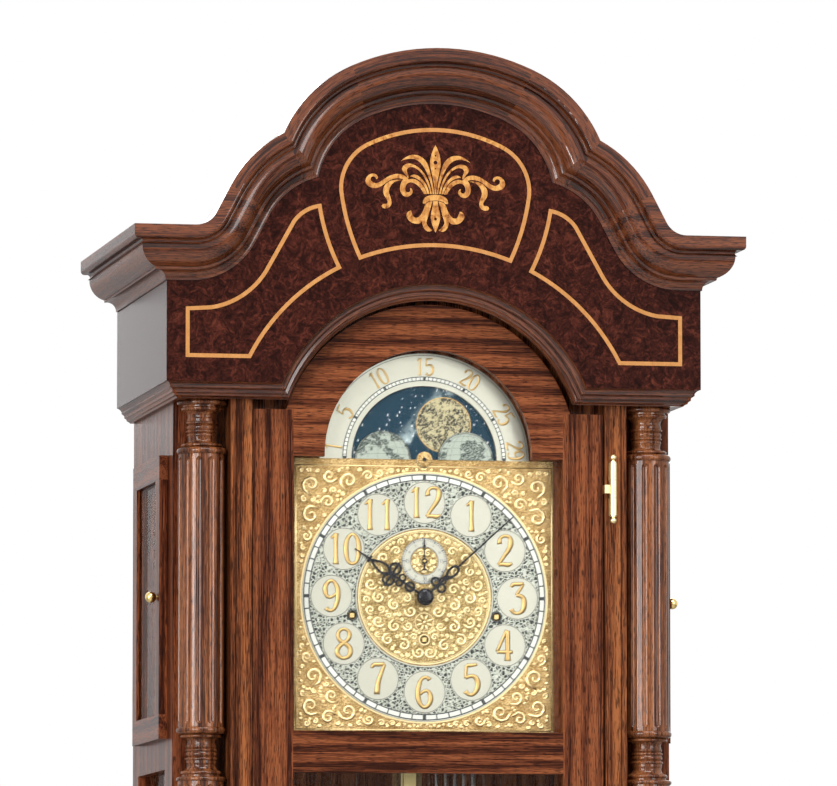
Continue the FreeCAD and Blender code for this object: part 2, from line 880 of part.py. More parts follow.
# Marquetry: stringing in three panels, and a palmette. The rows are (across, up, bulge), the panels'
# as shares of the frieze's half width and height
CENTRE_SHARES = [
    (0.2817, 0.3784, 0.092), (0.3527, 0.5794, -0.04), (0.2452, 0.7226, -0.155),
    (-0.2452, 0.7226, -0.114), (-0.3527, 0.5794, -0.155), (-0.2817, 0.3784, -0.04),
]
SIDE_SHARES = [
    (0.3603, 0.3479, -0.0786), (0.4330, 0.5313, -0.04), (0.5277, 0.4840, 0.10), (0.6313, 0.3329, 0),
    (0.8341, 0.2202, -0.108), (0.9221, 0.2157, 0), (0.9221, 0.0764, 0), (0.6929, 0.0764, 0),
]
# The palmette, as shares of its height: what stands on the middle line, then the left halves
MIDDLE_SHARES = [
    [(0.0, 0.481, -0.03), (-0.043, 0.383, -0.03), (-0.06, 0.291, -0.03), (-0.05, 0.209, -0.03),
     (-0.028, 0.101), (-0.013, 0.014, 0.01), (-0.01, -0.062, 0.02), (0.01, -0.062),
     (0.014, 0.014, 0.02), (0.028, 0.101, 0.01), (0.05, 0.209), (0.06, 0.291, -0.03),
     (0.044, 0.383, -0.03)],
    [(-0.141, -0.171), (-0.127, -0.115, 0.1), (-0.074, -0.082, 0.07), (0.0, -0.07, 0.04),
     (0.075, -0.082, 0.04), (0.128, -0.115, 0.07), (0.141, -0.171, 0.1), (0.11, -0.171),
     (0.077, -0.145, -0.09), (0.0, -0.134, -0.04), (-0.076, -0.145, -0.04), (-0.11, -0.171, -0.09)],
    [(-0.025, -0.141), (-0.036, -0.226, 0.01), (-0.054, -0.318, -0.02), (-0.039, -0.394, -0.04),
     (0.0, -0.492, -0.02), (0.039, -0.394, -0.02), (0.055, -0.318, -0.04), (0.037, -0.226, -0.02),
     (0.026, -0.141, 0.01)],
]
LEAF_SHARES = [
    [(-0.014, -0.062), (-0.032, 0.057, -0.01), (-0.056, 0.16, -0.01), (-0.087, 0.264, -0.02),
     (-0.141, 0.334, -0.06), (-0.219, 0.366, -0.07), (-0.302, 0.355, -0.07), (-0.394, 0.29, -0.05),
     (-0.318, 0.318, 0.05), (-0.23, 0.318, 0.06), (-0.163, 0.275, 0.06), (-0.113, 0.204, 0.04),
     (-0.074, 0.112, 0.02), (-0.048, 0.035, 0.02), (-0.032, -0.062, 0.02)],
    [(-0.041, -0.062), (-0.068, 0.046, -0.02), (-0.11, 0.139, -0.03), (-0.174, 0.215, -0.04),
     (-0.252, 0.262, -0.05), (-0.324, 0.266, -0.09), (-0.376, 0.212, -0.13), (-0.346, 0.157, -0.1),
     (-0.305, 0.101, -0.01), (-0.305, 0.144, -0.05), (-0.323, 0.188, 0.04), (-0.296, 0.227, 0.14),
     (-0.23, 0.222, 0.1), (-0.157, 0.166, 0.05), (-0.11, 0.09, 0.03), (-0.074, 0.003, 0.02),
     (-0.061, -0.062, 0.03)],
    [(-0.068, -0.062), (-0.105, 0.041, -0.04), (-0.163, 0.112, -0.04), (-0.23, 0.148, -0.08),
     (-0.287, 0.125, -0.13), (-0.23, 0.112, 0.04), (-0.172, 0.079, 0.04), (-0.124, 0.019, 0.04),
     (-0.09, -0.062, 0.03)],
    [(-0.096, -0.065), (-0.141, 0.03, -0.04), (-0.196, 0.081, -0.05), (-0.252, 0.101, -0.05),
     (-0.296, 0.094, -0.02), (-0.363, 0.094, 0.01), (-0.392, 0.035, -0.05), (-0.396, -0.03, -0.06),
     (-0.363, -0.086, -0.09), (-0.305, -0.097, -0.12), (-0.259, -0.057, -0.11), (-0.267, -0.01, -0.12),
     (-0.287, -0.008, -0.25), (-0.287, -0.039, 0.17), (-0.318, -0.049, 0.17), (-0.338, -0.017, 0.15),
     (-0.321, 0.041, 0.09), (-0.274, 0.061, 0.11), (-0.219, 0.041, 0.07), (-0.169, -0.003, 0.04),
     (-0.13, -0.065, 0.04)],
    [(-0.305, 0.094), (-0.363, 0.142, -0.07), (-0.441, 0.151, -0.06), (-0.518, 0.127, -0.04),
     (-0.596, 0.077, -0.01), (-0.657, 0.044, 0.05), (-0.707, 0.057, 0.1), (-0.727, 0.092, 0.13),
     (-0.703, 0.118, 0.15), (-0.676, 0.109, 0.13), (-0.667, 0.088, 0.12), (-0.645, 0.109, -0.23),
     (-0.672, 0.142, -0.14), (-0.729, 0.144, -0.1), (-0.778, 0.096, -0.09), (-0.778, 0.035, -0.11),
     (-0.729, -0.002, -0.1), (-0.652, -0.008, -0.07), (-0.579, 0.031, -0.04), (-0.507, 0.083, 0.02),
     (-0.418, 0.103, 0.05), (-0.352, 0.088, 0.06)],
    [(-0.38, 0.085), (-0.474, 0.081, -0.04), (-0.546, 0.048, -0.07), (-0.587, -0.024, -0.08),
     (-0.576, -0.09, -0.07), (-0.541, -0.145), (-0.543, -0.18, 0.14), (-0.578, -0.184, 0.05),
     (-0.603, -0.208, -0.16), (-0.574, -0.234, -0.17), (-0.518, -0.221, -0.1), (-0.492, -0.171, -0.1),
     (-0.505, -0.106, -0.04), (-0.523, -0.046, 0.04), (-0.498, 0.022, 0.06), (-0.452, 0.066, 0.06)],
    [(-0.11, -0.178, -0.06), (-0.127, -0.258), (-0.147, -0.345, -0.02), (-0.141, -0.421, -0.06),
     (-0.096, -0.476, -0.1), (-0.034, -0.463, -0.15), (-0.074, -0.43, 0.05), (-0.101, -0.383, 0.08),
     (-0.083, -0.318, 0.04), (-0.065, -0.247), (-0.034, -0.145), (-0.074, -0.152, -0.06)],
    [(-0.119, -0.184), (-0.141, -0.253, 0.04), (-0.185, -0.318, 0.05), (-0.234, -0.328, 0.13),
     (-0.259, -0.291, 0.09), (-0.274, -0.252, 0.03), (-0.318, -0.28, -0.13), (-0.318, -0.334, -0.12),
     (-0.268, -0.384, -0.08), (-0.202, -0.395, -0.07), (-0.161, -0.378, -0.11), (-0.121, -0.282, -0.06)],
]
# Round pits in it: (up, radius)
PIT_SHARES = [(0.362, 0.009), (0.286, 0.022), (0.218, 0.009), (-0.34, 0.016)]


def flipped(points):
    """An outline seen in a mirror, still running the same way round its face."""
    return [(-p[0], p[1]) + ((-p[2],) if len(p) > 2 else ()) for p in points]


def marquetry():
    rise = s.cornice_level + s.crest_rise - s.frieze_bottom_level
    half, deep = s.stringing_width / 2, s.inlay_depth
    band = [(-half, 0), (half, 0), (half, -deep), (-half, -deep)]
    lines = []
    side = moved(scaled(SIDE_SHARES, frieze_half, rise), 0, s.frieze_bottom_level)
    centre = moved(scaled(CENTRE_SHARES, frieze_half, rise), 0, s.frieze_bottom_level)
    for outline in (centre, side, flipped(side)):
        for leg in moulding(band, outline, UPRIGHT, True):
            lines.append(leg.translated(Vector(0, float(front), 0)))
    tall, level = s.palmette_height, s.palmette_level
    leaves = []
    for outline in MIDDLE_SHARES + LEAF_SHARES:
        leaves.append(face(moved(scaled(outline, tall, tall), 0, level)))
    for outline in LEAF_SHARES:
        leaves.append(face(moved(scaled(flipped(outline), tall, tall), 0, level)))
    ornament = leaves[0].fuse(leaves[1:]).removeSplitter()
    for up, radius in PIT_SHARES:
        ornament = ornament.cut(face(circle(tall * radius, 0, level + tall * up)))
    pieces = [slab(leaf, front, deep) for leaf in ornament.Faces]
    return feature("frieze_inlay", Part.Compound(lines + pieces))


def frieze():
    level, half, thick = s.frieze_bottom_level, frieze_half, s.frieze_thick
    inlay = node("frieze_inlay", marquetry())
    x = arch_x(s.hood_arch_radius, level)
    bend = arch_bulge(s.hood_arch_radius, level)
    outline = crest(half) + [(-half, level), (-x, level), (x, level, bend), (half, level)]
    blank = board("frieze_blank", "y", [([outline], 0, thick)], (0, front, 0))
    parts = [cut("frieze_front", blank, inlay)]
    wide = half - s.trunk_half
    for name, place in (("frieze_left", -half), ("frieze_right", s.trunk_half)):
        parts.append(box(name, (place, front + thick, level),
                         (wide, s.overall_depth - s.cornice_overhang - thick, s.cornice_level - level)))
    node("frieze", group("frieze_group", parts))


# Cornice: the front runs follow the crest, mitred at its cusps; the returns run to the back
CORNICE_SHARES = [
    (0, 0), (0, 1), (0.193, 1), (0.266, 0.901, 0.2), (0.266, 0.815), (0.367, 0.815, -0.45),
    (0.367, 0.765), (0.771, 0.358, 0.17), (0.798, 0.358), (0.817, 0.346), (1, 0.037, -0.26), (1, 0),
]


def cornice():
    drop, out = s.cornice_drop, s.cornice_overhang
    profile = scaled(CORNICE_SHARES, drop, out)
    legs = moulding(profile, crest(frieze_half + out), UPRIGHT)
    legs = [leg.translated(Vector(0, float(front), 0)) for leg in legs]
    corner = corner_blocks()
    runs = [legs[0].common(corner[0]), legs[-1].common(corner[1])] + legs[1:-1]
    deep = float(s.overall_depth)
    for i, (x, way) in enumerate(((frieze_half, 1), (-frieze_half, -1))):
        spot = Vector(float(x), float(back), float(s.cornice_level))
        shape = section(profile, spot, Vector(0, 0, -1), Vector(way, 0, 0))
        runs.append(shape.extrude(Vector(0, -deep, 0)).cut(corner[i]))
    node("cornice", feature("cornice", Part.Compound(runs)))


def corner_blocks():
    """Two blocks that hold the front runs' side of the mitres at the corners."""
    blocks = []
    size = float(s.overall_depth)
    for sign in (1, -1):
        x, y = float(frieze_half) * sign, float(front)
        past = x + size * sign
        base = Part.makePolygon([Vector(x, y, 0), Vector(past, y - size, 0), Vector(-past, y - size, 0),
                                 Vector(-past, y, 0), Vector(x, y, 0)])
        blocks.append(Part.Face(base).extrude(Vector(0, 0, float(s.cornice_level + s.crest_rise))))
    return blocks


# Hood moulding: it lines the foot of the frieze and goes over the door as an arch
HOOD_SHARES = [
    (0, 0), (0.245, 0.27, -0.12), (0.37, 0.27), (0.49, 0.42), (0.675, 0.44), (0.86, 0.58, -0.18),
    (1, 0.77, -0.1), (1, 1), (0, 1),
]


def hood_moulding():
    drop, deep = s.hood_moulding_drop, s.hood_moulding_set
    profile = [(p[0] * drop, -deep * p[1]) + tuple(p[2:]) for p in HOOD_SHARES]
    level, half, radius = s.frieze_bottom_level, frieze_half, s.hood_arch_radius
    x = arch_x(radius, level)
    bend = -arch_bulge(radius, level)
    path = [(half, level), (x, level, 0), (-x, level, bend), (-half, level, 0)]
    runs = [leg.translated(Vector(0, float(front), 0)) for leg in moulding(profile, path, UPRIGHT)]
    wide = half - s.trunk_half
    returns = [(p[0] * drop, -wide * p[1]) + tuple(p[2:]) for p in HOOD_SHARES]
    keep = corner_wedges()
    runs[0] = runs[0].common(keep[0])
    runs[-1] = runs[-1].common(keep[1])
    for i, (place, way) in enumerate(((half, 1), (-half, -1))):
        spot = Vector(float(place), float(back), float(level))
        shape = section(returns, spot, Vector(0, 0, -1), Vector(way, 0, 0))
        shape = shape.extrude(Vector(0, -float(s.overall_depth - s.cornice_overhang), 0))
        runs.append(shape.cut(keep[i]))
    start, side = front + deep, s.trunk_half
    soffits = []
    for name, low in (("soffit_left", -side), ("soffit_right", post_outer_half)):
        soffits.append(box(name, (low, start, level - drop),
                           (side - post_outer_half, s.recess_set - deep, drop)))
    moulded = feature("hood_moulding_runs", Part.Compound(runs))
    node("hood_moulding", group("hood_moulding_group", [moulded] + soffits))


def corner_wedges():
    """Two blocks that hold the front runs' side of the hood moulding's mitres."""
    wide, deep = float(frieze_half - s.trunk_half), float(s.hood_moulding_set)
    blocks = []
    for sign in (1, -1):
        x, y = float(frieze_half) * sign, float(front)
        corners = [Vector(x, y, 0), Vector(x - wide * sign, y + deep, 0), Vector(0, y + deep, 0),
                   Vector(0, y, 0)]
        base = Part.makePolygon(corners + corners[:1])
        blocks.append(Part.Face(base).extrude(Vector(0, 0, float(s.cornice_level))))
    return blocks


# Front door: a frame in three layers that hold the two glasses between them
def arched(half, bottom, shoulder, radius):
    """An outline with square shoulders and the arch between them."""
    x = arch_x(radius, shoulder)
    return [(-half, bottom), (half, bottom), (half, shoulder), (x, shoulder),
            (-x, shoulder, -arch_bulge(radius, shoulder)), (-half, shoulder)]


def door_openings(lap):
    """The dial opening and the trunk opening, each enlarged by a lap."""
    half = s.glass_half + lap
    return [
        arched(half, s.glass_bottom_level - lap, s.glass_shoulder_level + lap, s.glass_arch_radius + lap),
        rectangle(-half, s.trunk_glass_bottom_level - lap, half, s.trunk_glass_top_level + lap),
    ]


def front_door():
    outline = arched(s.door_half, s.door_bottom_level, s.door_shoulder_level, s.door_arch_radius)
    thick, glass, lap = s.door_front_thick, s.glass_thick, s.glass_lap
    layers = [
        ([outline] + door_openings(0), 0, thick),
        ([outline] + door_openings(lap), thick, glass),
        ([outline] + door_openings(s.bead_lap), thick + glass, s.door_back_thick),
    ]
    near = front + s.door_set
    node("door_frame", board("door_frame", "y", layers, (0, near, 0)))
    panes = []
    for name, outline in zip(("dial_glass", "trunk_glass"), door_openings(lap - s.fit_gap)):
        panes.append(board(name, "y", [([outline], 0, glass)], (0, near + thick, 0)))
    node("door_glasses", group("door_glasses_group", panes))


# Hinges: a barrel in three knuckles, the outer two fixed with the pin and its finials
def fixed_hinge(label, x, y, middle, radius, pin, length, leaf):
    """The fixed knuckles with their leaf and the pin; leaf is a corner and a size."""
    gap, third = s.hinge_knuckle_gap, length / 3
    low = middle - length / 2
    parts = [rod(label + "_pin", "z", (x, y, low), pin, length)]
    for name, z in (("_low", low), ("_high", low + third * 2 + gap)):
        parts.append(rod(label + name, "z", (x, y, z), radius, third - gap))
    for name, z in (("_leaf_low", low), ("_leaf_high", low + third * 2 + gap)):
        corner, size = leaf
        parts.append(box(label + name, (corner[0], corner[1], z), (size[0], size[1], third - gap)))
    return join(label, parts)


def finials(label, x, y, middle):
    """A ball on a neck with a collar, beyond each end of a front door hinge."""
    half, rise = s.hinge_length / 2, s.hinge_finial_rise
    neck, collar, ball = s.hinge_neck_radius, s.hinge_collar_radius, s.hinge_finial / 2
    bend = math.tan(math.acos(neck / ball) / 4) / 2
    profile = [(0, 0), (collar, 0), (collar, s.hinge_collar), (neck, s.hinge_collar),
               (neck, rise - root(ball * ball - neck * neck)), (ball, rise, -bend), (0, rise + ball, -QUARTER)]
    up = turned(label + "_tip", profile, (x, y, middle + half))
    down = turned(label + "_foot", [(r[0], -r[1]) + ((-r[2],) if len(r) > 2 else ()) for r in profile],
                  (x, y, middle - half))
    return [up, down]


def post_hinges():
    x, y, radius = s.hinge_half, front + s.hinge_set, s.hinge_radius
    wide, leaf = s.hinge_leaf_half, s.hinge_leaf
    moving, fixed = [], []
    plate = ((x - wide, front + s.post_front_set - leaf), (wide * 2, leaf))
    third, tall = s.hinge_length / 3, s.hinge_arm_tall
    reach = s.door_set + s.door_front_thick + s.glass_thick - s.hinge_set
    for i, level in enumerate((s.hinge_low_level, s.hinge_middle_level, s.hinge_top_level)):
        knuckles = fixed_hinge(f"hinge_knuckles_{i}", x, y, level, radius, s.hinge_pin_radius,
                               s.hinge_length, plate)
        fixed.append(join(f"hinge_{i}", [knuckles] + finials(f"hinge_{i}", x, y, level)))
        low, arm_low = level - third / 2, level - tall / 2
        barrel = rod(f"door_barrel_{i}", "z", (x, y, low), radius, third)
        arm = box(f"door_arm_{i}", (s.door_half, y, arm_low), (x - s.door_half, s.hinge_arm_thick, tall))
        flap = box(f"door_leaf_{i}", (s.door_half, y, arm_low), (leaf, reach, tall))
        bore = rod(f"door_bore_{i}", "z", (x, y, low), s.hinge_pin_radius + s.running_gap, third)
        moving.append(cut(f"door_hinge_{i}", join(f"door_hinge_blank_{i}", [barrel, arm, flap]), bore))
    node("door_hinges", group("door_hinges_group", moving))
    radius, leaf = s.side_hinge_radius, s.side_hinge_leaf
    y = back - s.side_door_back_margin + s.side_hinge_past
    for side, sign in (("left", -1), ("right", 1)):
        x = (s.trunk_half + s.side_hinge_out) * sign
        edge = s.trunk_half * sign if sign > 0 else -s.trunk_half - leaf
        plate = ((edge, y), (leaf, s.side_hinge_plate))
        for i, level in enumerate(side_hinge_levels()):
            fixed.append(fixed_hinge(f"{side}_side_hinge_{i}", x, y, level, radius, s.side_hinge_pin_radius,
                                     s.side_hinge_length, plate))
    node("post_hinges", group("post_hinges_group", fixed))


def side_hinge_levels():
    return (s.side_door_bottom_level + s.side_hinge_inset, s.side_door_top_level - s.side_hinge_inset)


# Side doors: frames like the front door's, with a knob at the front edge
def side_door_outline(inset):
    """The door's outline, or one smaller all round."""
    near, far = front + s.side_door_front_set, back - s.side_door_back_margin
    return rectangle(near + inset, s.side_door_bottom_level + inset,
                     far - inset, s.side_door_top_level - inset)


def side_doors():
    outline = side_door_outline(0)
    skin, glass = s.side_door_skin, s.glass_thick

    for side, sign in (("left", -1), ("right", 1)):
        inner = (s.trunk_half + s.side_door_gap) * sign
        laps = [s.side_bead_lap, s.side_glass_lap, 0]
        starts = [0, skin, skin + glass]
        thicks = [skin, glass, skin]
        if sign < 0:
            laps, x = laps[::-1], inner - skin * 2 - glass
        else:
            x = inner
        layers = [([outline, side_door_outline(s.side_door_rail - lap)], start, thick)
                  for lap, start, thick in zip(laps, starts, thicks)]
        node(f"{side}_door_frame", board(f"{side}_door_frame", "x", layers, (x, 0, 0)))
        pane = side_door_outline(s.side_door_rail - s.side_glass_lap + s.fit_gap)
        node(f"{side}_door_glass", board(f"{side}_door_glass", "x", [([pane], 0, glass)], (x + skin, 0, 0)))
        face_x = inner + (skin * 2 + glass) * sign
        side_fittings(side, sign, face_x)


def side_fittings(side, sign, face_x):
    """The knob and the hinge parts that move with a side door."""
    third = s.side_hinge_length / 3
    edge = back - s.side_door_back_margin
    x, y = (s.trunk_half + s.side_hinge_out) * sign, edge + s.side_hinge_past
    parts = []
    for i, level in enumerate(side_hinge_levels()):
        low = level - third / 2
        barrel = rod(f"{side}_barrel_{i}", "z", (x, y, low), s.side_hinge_radius, third)
        start = x if sign > 0 else face_x
        leaf = box(f"{side}_leaf_{i}", (start, edge, low), ((face_x - x) * sign, s.side_hinge_leaf, third))
        bore = rod(f"{side}_bore_{i}", "z", (x, y, low), s.side_hinge_pin_radius + s.running_gap, third)
        parts.append(cut(f"{side}_moving_{i}", join(f"{side}_moving_blank_{i}", [barrel, leaf]), bore))
    length, radius = s.knob_length, s.knob_radius
    reach = length - radius
    knob_y = front + s.side_door_front_set + s.knob_inset
    at = (face_x if sign > 0 else face_x - reach, knob_y, s.knob_level)
    neck = rod(f"{side}_knob_neck", "x", at, s.knob_neck_radius, reach)
    ball = doc.addObject("Part::Sphere", f"{side}_knob_ball")
    bind(ball, Radius=radius)
    # the ball's seam faces backwards, clear of the neck
    ball.Placement.Rotation = FreeCAD.Rotation(AXES["z"], 90)
    put(ball, (face_x + reach * sign, knob_y, s.knob_level))
    parts.append(join(f"{side}_knob", [neck, ball]))
    node(f"{side}_door_fittings", group(f"{side}_fittings_group", parts))


# Dial: the mask board, the plate with the moon window, and what is fixed on its face
QUARTER = math.tan(math.pi / 8) / 2


def half_round(radius, level, x=0, way=-1):
    """Corners of a circle's upper half, running to the left or, with way 1, to the right."""
    return [(x - radius * way, level), (x, level + radius, QUARTER * way),
            (x + radius * way, level, QUARTER * way)]


def circle(radius, x=0, level=0):
    """Corners of a full circle."""
    return [(x + radius, level, -QUARTER), (x, level + radius, -QUARTER), (x - radius, level, -QUARTER),
            (x, level - radius, -QUARTER)]


def disc(label, y, radius, thick, x=0, level=None):
    return rod(label, "y", (x, y, s.hand_level if level is None else level), radius, thick)


def ring(label, y, outer, inner, thick, level=None):
    return cut(label, disc(label + "_disc", y, outer, thick, 0, level),
               disc(label + "_hole", y, inner, thick, 0, level))


def winding_spots():
    """The three winding squares as (side, across, level)."""
    side = s.hand_level - s.drum_side_drop
    return [("left", -s.drum_half, side), ("centre", 0, s.hand_level - s.drum_time_drop),
            ("right", s.drum_half, side)]


def winding_holes(label, y, thick):
    return [disc(f"{label}_{side}", y, s.winding_hole_radius, thick, x, level)
            for side, x, level in winding_spots()]


def dial():
    moon, half = s.glass_shoulder_level, s.mask_half
    near = front + s.dial_set
    mask_at = near + s.dial_thick
    opening = [(-s.mask_open_half, s.mask_open_bottom_level), (s.mask_open_half, s.mask_open_bottom_level),
               (s.mask_open_half, moon)] + half_round(s.mask_arch_radius, moon) + [(-s.mask_open_half, moon)]
    outline = rectangle(-half, s.mask_bottom_level, half, s.mask_top_level)
    node("dial_mask", board("dial_mask", "y", [([outline, opening], 0, s.mask_thick)], (0, mask_at, 0)))
    wide = s.dial_half
    outline = [(-wide, s.dial_bottom_level), (wide, s.dial_bottom_level), (wide, moon)]
    outline += half_round(s.dial_arch_radius, moon) + [(-wide, moon)]
    window = half_round(s.sky_radius, moon)
    for x in (-s.hump_half, s.hump_half):
        window += half_round(s.hump_radius, moon, x, 1)
    plate = board("dial_plate_blank", "y", [([outline, window], 0, s.dial_thick)], (0, near, 0))
    holes = winding_holes("dial_hole", near, s.dial_thick)
    holes.append(disc("dial_pipe_hole", near, s.hour_pipe_radius + s.pass_gap / 2, s.dial_thick))
    seconds = s.hand_level + s.seconds_rise
    holes.append(disc("dial_seconds_hole", near, s.train_arbor_radius + s.pass_gap, s.dial_thick, 0, seconds))
    holes.append(disc("dial_stud_hole", near, s.stud_radius, s.dial_thick, 0, moon))
    node("dial_plate", cut("dial_plate_cut", plate, join("dial_holes", holes)))
    chapters(near, moon, seconds)


def chapters(near, moon, seconds):
    thick, plaque = s.chapter_thick, s.cartouche_thick
    parts = [ring("chapter_ring", near - thick, s.chapter_outer_radius, s.chapter_inner_radius, thick)]
    for hour in range(12):
        turn = f"{30 * hour} deg"
        circle = s.cartouche_circle_radius
        spot = (Length(float(circle) * math.sin(math.radians(30 * hour)), f"{circle.formula} * sin({turn})"),
                Length(float(circle) * math.cos(math.radians(30 * hour)), f"{circle.formula} * cos({turn})"))
        parts.append(disc(f"cartouche_{hour}", near - thick - plaque, s.cartouche_radius, plaque,
                          spot[0], s.hand_level + spot[1]))
    full = join("chapter_blank", parts)
    holes = winding_holes("ring_hole", near - thick - plaque, thick + plaque)
    dial_face = [cut("chapters", full, join("ring_holes", holes))]
    on = near - s.centre_thick - s.seconds_ring_thick
    dial_face.append(ring("seconds_ring", on, s.seconds_outer_radius, s.seconds_inner_radius,
                          s.seconds_ring_thick, seconds))
    outer, inner = s.dial_arch_radius, s.moon_ring_inner_radius
    outline = half_round(outer, moon) + half_round(inner, moon, 0, 1)
    arch = board("moon_arch", "y", [([outline], 0, s.moon_ring_thick)], (0, near - s.moon_ring_thick, 0))
    dial_face.append(arch)
    node("dial_rings", group("dial_rings_group", dial_face))
    at = near - s.centre_thick
    middle = disc("centre_disc", at, s.centre_radius, s.centre_thick)
    holes = winding_holes("centre_hole", at, s.centre_thick)
    holes.append(disc("centre_pipe_hole", at, s.hour_pipe_radius + s.pass_gap / 2, s.centre_thick))
    holes.append(disc("centre_seconds_hole", at, s.train_arbor_radius + s.pass_gap, s.centre_thick, 0,
                      seconds))
    node("dial_centre", cut("dial_centre_cut", middle, join("centre_holes", holes)))
    humps = []
    for side, x in (("left", -s.hump_half), ("right", s.hump_half)):
        outline = half_round(s.hump_radius, moon, x)
        humps.append(board(f"{side}_hump", "y", [([outline], 0, s.hump_thick)], (0, near - s.hump_thick, 0)))
    washer_at = front + s.moon_disc_set + s.moon_disc_thick + s.fit_gap
    stud = join("moon_stud", [
        disc("moon_hub", near - s.hub_thick, s.hub_radius, s.hub_thick, 0, moon),
        disc("moon_pin", near, s.stud_radius, washer_at - near, 0, moon),
        disc("moon_washer", washer_at, s.stud_washer_radius, s.stud_washer_thick, 0, moon),
    ])
    node("globe_humps", group("globe_humps_group", humps + [stud]))
    bore = s.stud_radius + s.running_gap
    node("moon_disc", ring("moon_disc_ring", front + s.moon_disc_set, s.moon_disc_radius, bore,
                           s.moon_disc_thick, moon))


# Hands: each drawn pointing up as shares of its length, and turned to its place. A drop is an
# outline with its eye; a loop is (across, up, outer radius, inner radius)
HOUR_SHARES = {
    "bars": [
        [(-0.014, 0.05), (0.014, 0.05), (0.014, 0.52), (-0.014, 0.52)],
        [(-0.044, 0.776), (0.044, 0.776), (0.044, 0.802), (-0.044, 0.802)],
        [(-0.013, 0.755), (0.013, 0.755), (0.005, 1.0), (-0.005, 1.0)],
        [(-0.165, 0.459), (0.165, 0.459), (0.165, 0.485), (-0.165, 0.485)],
    ],
    "drops": [
        ([(0.066, 0.600, -0.20), (0.0, 0.790, -0.07), (-0.066, 0.600, -0.07), (0.0, 0.494, -0.20)],
         [(0.040, 0.602, -0.18), (0.0, 0.735, -0.06), (-0.040, 0.602, -0.06), (0.0, 0.530, -0.18)]),
    ],
    "loops": [(0.076, 0.472, 0.078, 0.050), (-0.076, 0.472, 0.078, 0.050), (0.037, 0.345, 0.046, 0.024),
              (-0.037, 0.345, 0.046, 0.024), (0.0, 0.215, 0.064, 0.036)],
}
MINUTE_SHARES = {
    "bars": [
        [(-0.010, 0.05), (0.010, 0.05), (0.010, 0.25), (-0.010, 0.25)],
        [(-0.024, 0.230), (0.024, 0.230), (0.024, 0.248), (-0.024, 0.248)],
        [(-0.0080, 0.36), (0.0080, 0.36), (0.0045, 1.0), (-0.0045, 1.0)],
    ],
    "drops": [
        ([(0.039, 0.325, -0.16), (0.0, 0.385, -0.22), (-0.039, 0.325, -0.22), (0.0, 0.230, -0.16)],
         [(0.022, 0.325, -0.14), (0.0, 0.358, -0.20), (-0.022, 0.325, -0.20), (0.0, 0.264, -0.14)]),
    ],
    "loops": [(0.038, 0.150, 0.041, 0.023), (-0.038, 0.150, 0.041, 0.023), (0.0, 0.200, 0.033, 0.017)],
}
SECONDS_SHARES = {
    "bars": [
        [(-0.030, -0.36), (0.030, -0.36), (0.022, 1.0), (-0.022, 1.0)],
        [(0.0, 0.60), (0.065, 0.70), (0.0, 0.80), (-0.065, 0.70)],
        [(0.185, -0.545, 0.34), (0.185, -0.52), (-0.185, -0.52, -0.46), (-0.185, -0.545)],
    ],
    "drops": [],
    "loops": [],
}


def blade(shares, length, collet, bore):
    """A hand lying flat: its bars, pierced drops and loops, and the collet, as one plate."""
    faces = [face(circle(collet))]
    for bar in shares["bars"]:
        faces.append(face(scaled(bar, length, length)))
    for outline, eye in shares["drops"]:
        faces.append(face(scaled(outline, length, length), scaled(eye, length, length)))
    for across, up, outer, inner in shares["loops"]:
        spot = (length * across, length * up)
        faces.append(face(circle(length * outer, *spot), circle(length * inner, *spot)))
    plates = [item.extrude(Vector(0, 0, s.hand_thick)) for item in faces]
    hole = face(circle(bore)).extrude(Vector(0, 0, s.hand_thick))
    return plates[0].multiFuse(plates[1:]).cut(hole).removeSplitter()


def turned_hand(shape, level, at, angle):
    shape.rotate(Vector(), AXES["x"], 90)
    shape.translate(Vector(0, at + s.hand_thick, 0))
    shape.rotate(Vector(), AXES["y"], angle)
    return shape.translated(Vector(0, 0, float(level)))


def hands():
    level = s.hand_level
    hour = blade(HOUR_SHARES, s.hour_length, s.hour_collet_radius, s.hour_pipe_radius)
    at = front + s.hour_hand_set
    hand = feature("hour_blade", turned_hand(hour, level, at, s.hour_angle))
    wheel_at = front + s.hour_wheel_set
    module = s.hour_wheel_radius * 2 / s.hour_wheel_teeth
    wheel = feature("hour_wheel", gear(s.hour_wheel_teeth, module, (0, wheel_at, level), s.wheel_thick))
    pipe = disc("hour_pipe", at, s.hour_pipe_radius, wheel_at + s.wheel_thick - at)
    bore = disc("hour_bore", at, s.centre_arbor_radius + s.running_gap, wheel_at + s.wheel_thick - at)
    node("hour_hand", cut("hour_hand_cut", join("hour_blank", [hand, pipe, wheel]), bore))
    minute = blade(MINUTE_SHARES, s.minute_length, s.minute_collet_radius, s.centre_arbor_radius)
    at = front + s.minute_hand_set
    hand = feature("minute_blade", turned_hand(minute, level, at, s.minute_angle))
    nut_at = front + s.hand_nut_front_set
    nut = cut("minute_nut", disc("minute_nut_disc", nut_at, s.hand_nut_radius, at - nut_at),
              disc("minute_nut_bore", nut_at, s.centre_arbor_radius, at - nut_at))
    node("minute_hand", group("minute_hand_group", [hand, nut]))
    seconds = blade(SECONDS_SHARES, s.seconds_length, s.seconds_collet_radius, s.train_arbor_radius)
    hand = turned_hand(seconds, level + s.seconds_rise, front + s.seconds_hand_set, 0)
    node("seconds_hand", feature("seconds_hand", hand))


# Wheels: teeth as shares of the module, thin enough to run free of each other
TOOTH_SHARES = [(-1.05, 0.27), (0.0, 0.19), (0.75, 0.09)]


